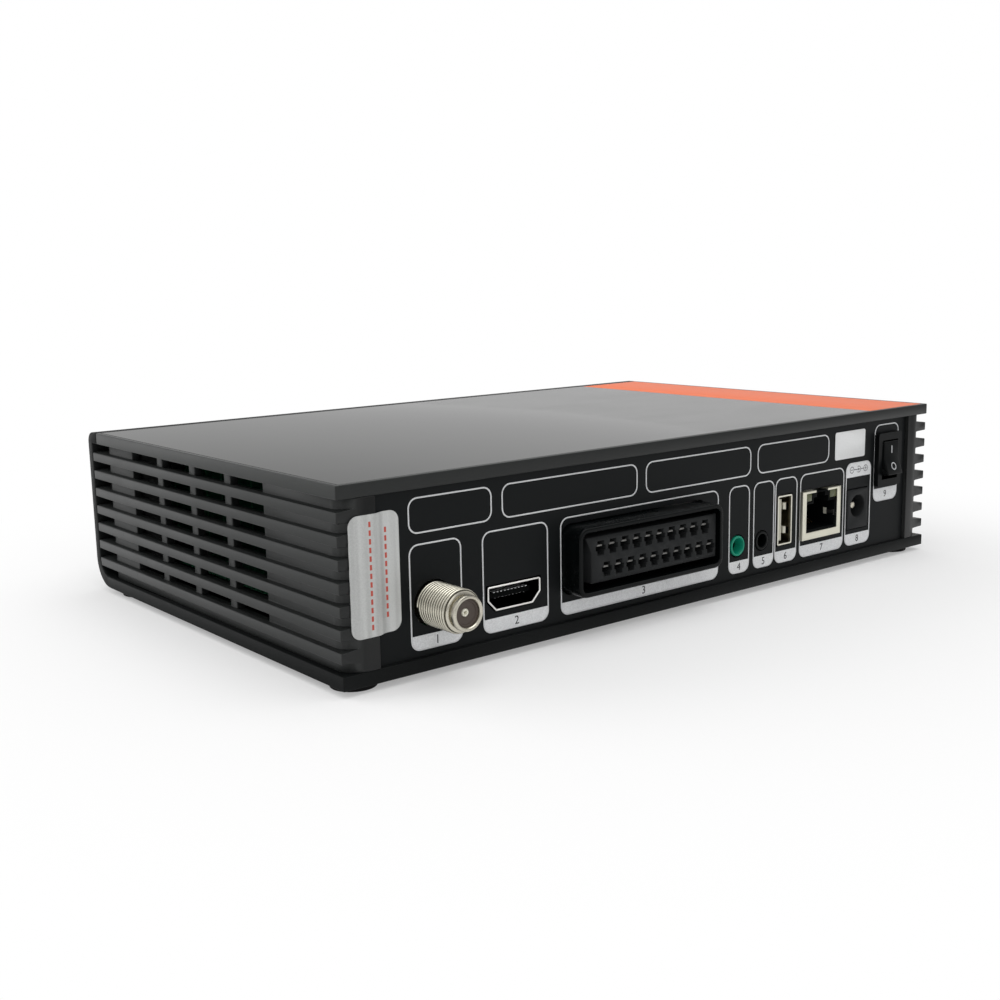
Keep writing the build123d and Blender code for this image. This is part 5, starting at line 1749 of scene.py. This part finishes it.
# ---- boards and front -----------------------------------------------------------------------
@cache
def scatter_maker() -> Maker:
    """Builds the tree that strews small blocks over the base mesh, some turned by a quarter.

    Returns:
        The tree, the same one each time.
    """
    maker = Maker("strewn", {
        "Geometry": "NodeSocketGeometry", "Apart": "NodeSocketFloat", "Density": "NodeSocketFloat",
        "Size": "NodeSocketVector", "Seed": "NodeSocketInt", "Material": "NodeSocketMaterial",
    })
    points = maker.node("GeometryNodeDistributePointsOnFaces", {"distribute_method": "POISSON"}, {
        "Mesh": maker.value("Geometry"), "Distance Min": maker.value("Apart"),
        "Density Max": maker.value("Density"), "Seed": maker.value("Seed"),
    })
    block = maker.node("GeometryNodeMeshCube", None, {"Size": maker.value("Size")})
    turn = maker.node("FunctionNodeRandomValue", {"data_type": "INT"}, {
        4: 0, 5: 1, "Seed": maker.value("Seed"),
    })
    quarter = maker.math("MULTIPLY", maker.out(turn, 2), math.pi / 2)
    angles = maker.node("ShaderNodeCombineXYZ", None, {"Z": quarter})
    copies = maker.node("GeometryNodeInstanceOnPoints", None, {
        "Points": maker.out(points), "Instance": maker.out(block), "Rotation": maker.out(angles),
    })
    maker.end(maker.out(copies))
    return maker


@dataclass
class Boards:
    """Main board, front board and what stands on them."""

    leg: tuple[float, float, float] = (1.1, 0.3, 0.5)
    leg_pitch: float = 0.8
    resistor: Point = (1.6, 0.8, 0.5)
    apart: float = 3.2
    density: float = 60000.0
    seed: int = 3
    memory_length: float = 13.0
    disc_share: float = 0.8
    capacitors: int = 3

    FINISHES: ClassVar[dict[str, Finish]] = {
        "main_board": Finish.BOARD, "front_board": Finish.BOARD, "board_screws": Finish.STEEL,
        "front_board_screws": Finish.STEEL, "decoder_chip": Finish.CHIP,
        "heat_sink": Finish.ALUMINIUM, "key_switches": Finish.SOCKET,
        "display_module": Finish.SOCKET, "remote_receiver": Finish.DARK,
        "status_lamp": Finish.STATUS, "ribbon_cable": Finish.FILM,
    }
    REFINED: ClassVar[dict[str, tuple[Finish, str, float]]] = {
        "memory_chips": (Finish.CHIP, "chip_epoxy", 0.12),
        "flash_chip": (Finish.CHIP, "chip_epoxy", 0.12),
        "crystal": (Finish.STEEL, "crystal_can", 0.4),
        "coils": (Finish.FERRITE, "ferrite", 0.5),
        "capacitors": (Finish.SLEEVED, "capacitor_sleeve", 0.1),
        "ribbon_sockets": (Finish.HEADER, "header_white", 0.2),
    }

    def build(self) -> None:
        """Dresses the electronics and adds their small parts."""
        for node, finish in self.FINISHES.items():
            dress(node, finish)
        for node, (finish, slot, edge) in self.REFINED.items():
            refine(node, f"{node}_body", finish, edge)
        self.legs()
        self.capacitor_tops()
        self.strew()

    def legs(self) -> None:
        """Rows of legs along both sides of the memory and flash chips."""
        memory_low, memory_high = box_mm("memory_chips")
        flash_low, flash_high = box_mm("flash_chip")
        chip = self.memory_length
        spans = [(memory_low, memory_low.y, memory_low.y + chip, memory_high.x),
                 (memory_low, memory_high.y - chip, memory_high.y, memory_high.x),
                 (flash_low, flash_low.y, flash_high.y, flash_high.x)]
        reach, width, height = self.leg
        made = []
        for low, start, end, far_x in spans:
            count = int((end - start - 1.0) / self.leg_pitch)
            for edge_x, side in ((low.x, -1), (far_x, 1)):
                ends = sorted((edge_x - side * 0.1, edge_x + side * reach))
                leg = block_mesh((ends[0], -width / 2, low.z), (ends[1], width / 2, low.z + height))
                first = (start + end - (count - 1) * self.leg_pitch) / 2
                made.append(in_a_row(leg, count, (0, first, 0), (0, self.leg_pitch, 0),
                                     Finish.TIN))
        new_piece("chip_legs", made, Finish.TIN)

    def capacitor_tops(self) -> None:
        """A bare metal disc on top of each capacitor."""
        low, high = box_mm("capacitors")
        radius = (high.y - low.y) / 2
        disc = self.disc_share * radius
        turns = [2 * math.pi * i / 32 for i in range(32)]
        made = []
        for i in range(self.capacitors):
            x = low.x + radius + i * (high.x - low.x - 2 * radius) / (self.capacitors - 1)
            outline = [(x + disc * math.cos(turn), low.y + radius + disc * math.sin(turn))
                       for turn in turns]
            made.append(prism_mesh(outline, high.z - 0.1, high.z + 0.03, "xyz"))
        new_piece("capacitor_tops", made, Finish.ALUMINIUM)

    def strew(self) -> None:
        """Strews small resistors on two free stretches of the main board."""
        board_high = box_mm("main_board")[1]
        sink_low, sink_high = box_mm("heat_sink")
        memory_low, memory_high = box_mm("memory_chips")
        ribbon_high = box_mm("ribbon_sockets")[1]
        stretches = [
            ((sink_high.x + 2, ribbon_high.y + 3), (memory_high.x + 6, memory_low.y - 3)),
            ((sink_low.x + 2, sink_high.y + 3), (sink_high.x, sink_high.y + 9)),
        ]
        made = []
        for seed, (near, far) in enumerate(stretches, start=self.seed):
            made.append(scatter_maker().run({
                "Apart": self.apart * MM, "Density": self.density,
                "Size": Vector(self.resistor) * MM, "Seed": seed,
                "Material": Finish.CHIP.material(),
            }, flat_mesh(near, far, board_high.z + self.resistor[2] / 2)))
        new_piece("resistors", made, Finish.CHIP)


@dataclass
class FrontFace:
    """Window, keys and their marks."""

    sign: float = 1.3
    line: float = 0.26
    proud: float = 0.03

    def build(self) -> None:
        """Builds the window, the keys and their marks."""
        dress("front_window", Finish.WINDOW)
        for name in ("standby", "channel_down", "channel_up"):
            refine(f"key_{name}", f"cap_{name}", Finish.KEY, 0.25, 3, f"key_{name}")
            new_piece(f"mark_{name}", self.mark(name), Finish.WHITE,
                      f"key_{name}")
        self.lenses()

    def mark(self, name: str) -> list[bpy.types.Mesh]:
        """The flat sign on one key: a ring with a bar, or a triangle that points up or down.

        Args:
            name: the key's name, without key_.

        Returns:
            The sign's meshes.
        """
        face = box_mm(f"key_{name}")[0].y
        middle = middle_mm(f"key_{name}")
        low, high = face - self.proud, face + 0.02
        if name == "standby":
            half = self.line / 2
            bar = block_mesh((middle.x - half, low, middle.z),
                             (middle.x + half, high, middle.z + self.sign))
            ring = ring_mesh((middle.x, middle.z), self.sign * 0.8, self.line, low, high)
            return [bar, ring]
        up = self.sign if name.endswith("up") else -self.sign
        outline = [(middle.x - self.sign, middle.z - up * 0.6),
                   (middle.x + self.sign, middle.z - up * 0.6), (middle.x, middle.z + up * 0.8)]
        return [prism_mesh(outline, low, high)]

    def lenses(self) -> None:
        """The dark lens of the remote receiver and the red dot of the status lamp."""
        face = box_mm("front_window")[0].y
        for name, node, radius, finish in (
            ("receiver_lens", "remote_receiver", 2.3, Finish.WINDOW),
            ("status_dot", "status_lamp", 0.8, Finish.STATUS),
        ):
            middle = middle_mm(node)
            disc = [(0, face + 0.05), (radius, face + 0.05), (radius, face - self.proud),
                    (0, face - self.proud * 2)]
            mesh = lathe_mesh(disc, (middle.x, middle.z), 32, closed=False, smooth=False)
            new_piece(name, mesh, finish)


# ---- studio ---------------------------------------------------------------------------------
def way_out(azimuth: float, elevation: float) -> Vector:
    """The way from the object at two angles, in degrees, where 0 and 0 are straight in front.

    Args:
        azimuth: the angle round the object, towards +X.
        elevation: the angle above the floor.

    Returns:
        The way, one long.
    """
    turn, lift = math.radians(azimuth), math.radians(elevation)
    return Vector((math.sin(turn) * math.cos(lift), -math.cos(turn) * math.cos(lift),
                   math.sin(lift)))


@dataclass(frozen=True)
class Lamp:
    """A soft square lamp that faces a point of the object, and may or may not show in gloss."""

    name: str
    azimuth: float
    elevation: float
    distance: float
    size: float
    power: float
    mirrored: bool = True

    def place(self, target: Vector) -> None:
        """Hangs the lamp.

        Args:
            target: the point that it faces, in metres.
        """
        data = bpy.data.lights.new(self.name, "AREA")
        data.shape = "SQUARE"
        data.size = self.size
        data.energy = self.power
        lamp = in_scene(self.name, data)
        lamp.visible_glossy = self.mirrored
        back = way_out(self.azimuth, self.elevation)
        lamp.location = target + back * self.distance
        lamp.rotation_euler = (-back).to_track_quat("-Z", "Y").to_euler()


@dataclass(frozen=True)
class Viewpoint:
    """Where the camera stands: angles in degrees, lengths in millimetres."""

    azimuth: float = 141.0379
    elevation: float = 10.2001
    roll: float = -1.0856
    distance: float = 353.2443
    across: float = 9.2598
    height: float = 20.7556
    lens: float = 46.034

    def place(self) -> None:
        """Adds the camera, aimed beside the middle of the tray."""
        turn, roll = math.radians(self.azimuth), math.radians(self.roll)
        back = way_out(self.azimuth, self.elevation)
        right = Vector((math.cos(turn), math.sin(turn), 0))
        up = back.cross(right)
        rolled_right = math.cos(roll) * right + math.sin(roll) * up
        rolled_up = math.cos(roll) * up - math.sin(roll) * right
        data = bpy.data.cameras.new("camera")
        data.sensor_width = 36.0
        data.lens = self.lens
        data.clip_start, data.clip_end = 0.01, 20.0
        camera = in_scene("camera", data)
        turned = Matrix((rolled_right, rolled_up, back)).transposed().to_4x4()
        target = Vector((self.across, middle_mm("base_tray").y, self.height))
        camera.matrix_world = Matrix.Translation((target + back * self.distance) * MM) @ turned
        bpy.context.scene.camera = camera


@dataclass
class Studio:
    """White surround, pale floor, soft lamps and the camera."""

    ambient: float = 0.45
    dim: float = 0.12
    floor_size: float = 8.0
    floor_colour: float = 0.93
    floor_lift: float = 0.32
    fade: tuple[float, float] = (100.0, 205.0)
    overhead: tuple[float, float] = (0.0, 0.55)
    overhead_gain: float = 0.48
    horizon: float = 0.50
    rear_side: tuple[float, float] = (0.1, 0.9)
    rear_loss: float = 0.75
    aim: float = 20.0
    lamps: tuple[Lamp, ...] = (
        Lamp("key", 45.0, 28.0, 1.2, 0.9, 5.6, False),
        Lamp("top", 200.0, 80.0, 1.2, 1.2, 7.0),
        Lamp("rear", 165.0, 30.0, 1.3, 0.9, 2.4),
    )

    def build(self) -> None:
        """Sets the stage."""
        bpy.context.scene.view_settings.view_transform = "Standard"
        self.world()
        self.floor()
        for lamp in self.lamps:
            lamp.place(Vector((0, 0, self.aim)) * MM)
        Viewpoint().place()

    @staticmethod
    def seen(tree: Tree) -> tuple[Wire, Wire]:
        """One for camera rays, and one for rays that show the background in any way.

        Args:
            tree: the tree that reads them.

        Returns:
            Both values.
        """
        path = tree.node("ShaderNodeLightPath")
        rays = [tree.out(path, f"Is {kind} Ray") for kind in ("Camera", "Glossy", "Transmission")]
        return rays[0], tree.math("MINIMUM", rays[0] + rays[1] + rays[2], 1.0)

    def world(self) -> None:
        """A white surround that lights the object less than it looks.

        Gloss shows it paler overhead than at the horizon, and dimmer on the rear side.
        """
        world = bpy.data.worlds.new("surround")
        world.use_nodes = True
        bpy.context.scene.world = world
        tree = Tree(world.node_tree)

        def glow(level: float) -> Wire:
            """An even surround."""
            sockets = {"Color": (1.0, 1.0, 1.0, 1.0), "Strength": level}
            return tree.out(tree.node("ShaderNodeBackground", None, sockets))

        def mixed(factor: Wire, low: Wire, high: Wire) -> Wire:
            """Two surrounds in one."""
            return tree.out(tree.node("ShaderNodeMixShader", None, {0: factor, 1: low, 2: high}))

        place = tree.out(tree.node("ShaderNodeTexCoord"), "Object")
        parts = tree.node("ShaderNodeSeparateXYZ", None, {0: place})
        overhead = tree.between(tree.out(parts, "Z"), *self.overhead)
        rear_side = tree.between(tree.out(parts, "Y"), *self.rear_side)
        level = (overhead * self.overhead_gain + self.horizon) * (1.0 - rear_side * self.rear_loss)
        camera, seen = self.seen(tree)
        shown = mixed(camera, mixed(level, glow(self.dim), glow(1.0)), glow(1.0))
        surround = mixed(seen, glow(self.ambient), shown)
        tree.node("ShaderNodeOutputWorld", None, {"Surface": surround})

    def floor(self) -> None:
        """A wide pale floor that keeps the object's shadow and fades into the surround.

        A camera below it looks through it.
        """
        half = self.floor_size / 2 / MM
        mesh = flat_mesh((-half, -half), (half, half), 0)
        shader = Shader("floor_paper")
        distance = shader.out(shader.vector("LENGTH", shader.place), "Value")
        far = shader.between(distance, self.fade[0] * MM, self.fade[1] * MM)
        grey = (self.floor_colour,) * 3
        diffuse = shader.node("ShaderNodeBsdfDiffuse", None, {"Color": (*grey, 1.0)})
        glow = shader.node("ShaderNodeEmission", None, {"Color": (1, 1, 1, 1), "Strength": 1.0})
        camera, seen = self.seen(shader)
        lift = seen * (far * (1.0 - self.floor_lift) + self.floor_lift)
        both = shader.node("ShaderNodeMixShader", None,
                           {0: lift, 1: shader.out(diffuse), 2: shader.out(glow)})
        clear = shader.node("ShaderNodeBsdfTransparent")
        below = camera * shader.out(shader.node("ShaderNodeNewGeometry"), "Backfacing")
        paper = shader.node("ShaderNodeMixShader", None,
                            {0: below, 1: shader.out(both), 2: shader.out(clear)})
        shader.node("ShaderNodeOutputMaterial", None, {"Surface": shader.out(paper)})
        mesh.materials.append(shader.material)
        in_scene("floor", mesh)


def main() -> None:
    """Builds the receiver's looks and the studio round it."""
    logging.basicConfig(level=logging.INFO, format="%(name)s %(message)s")
    for assembly in (Housing(), RearPrint(), AerialSocket(), VideoSockets(), DataSockets(),
                     RoundSockets(), PowerSwitch(), Boards(), FrontFace()):
        log.info("building %s", type(assembly).__name__)
        assembly.build()
    Studio().build()


if __name__ == "__main__":
    main()
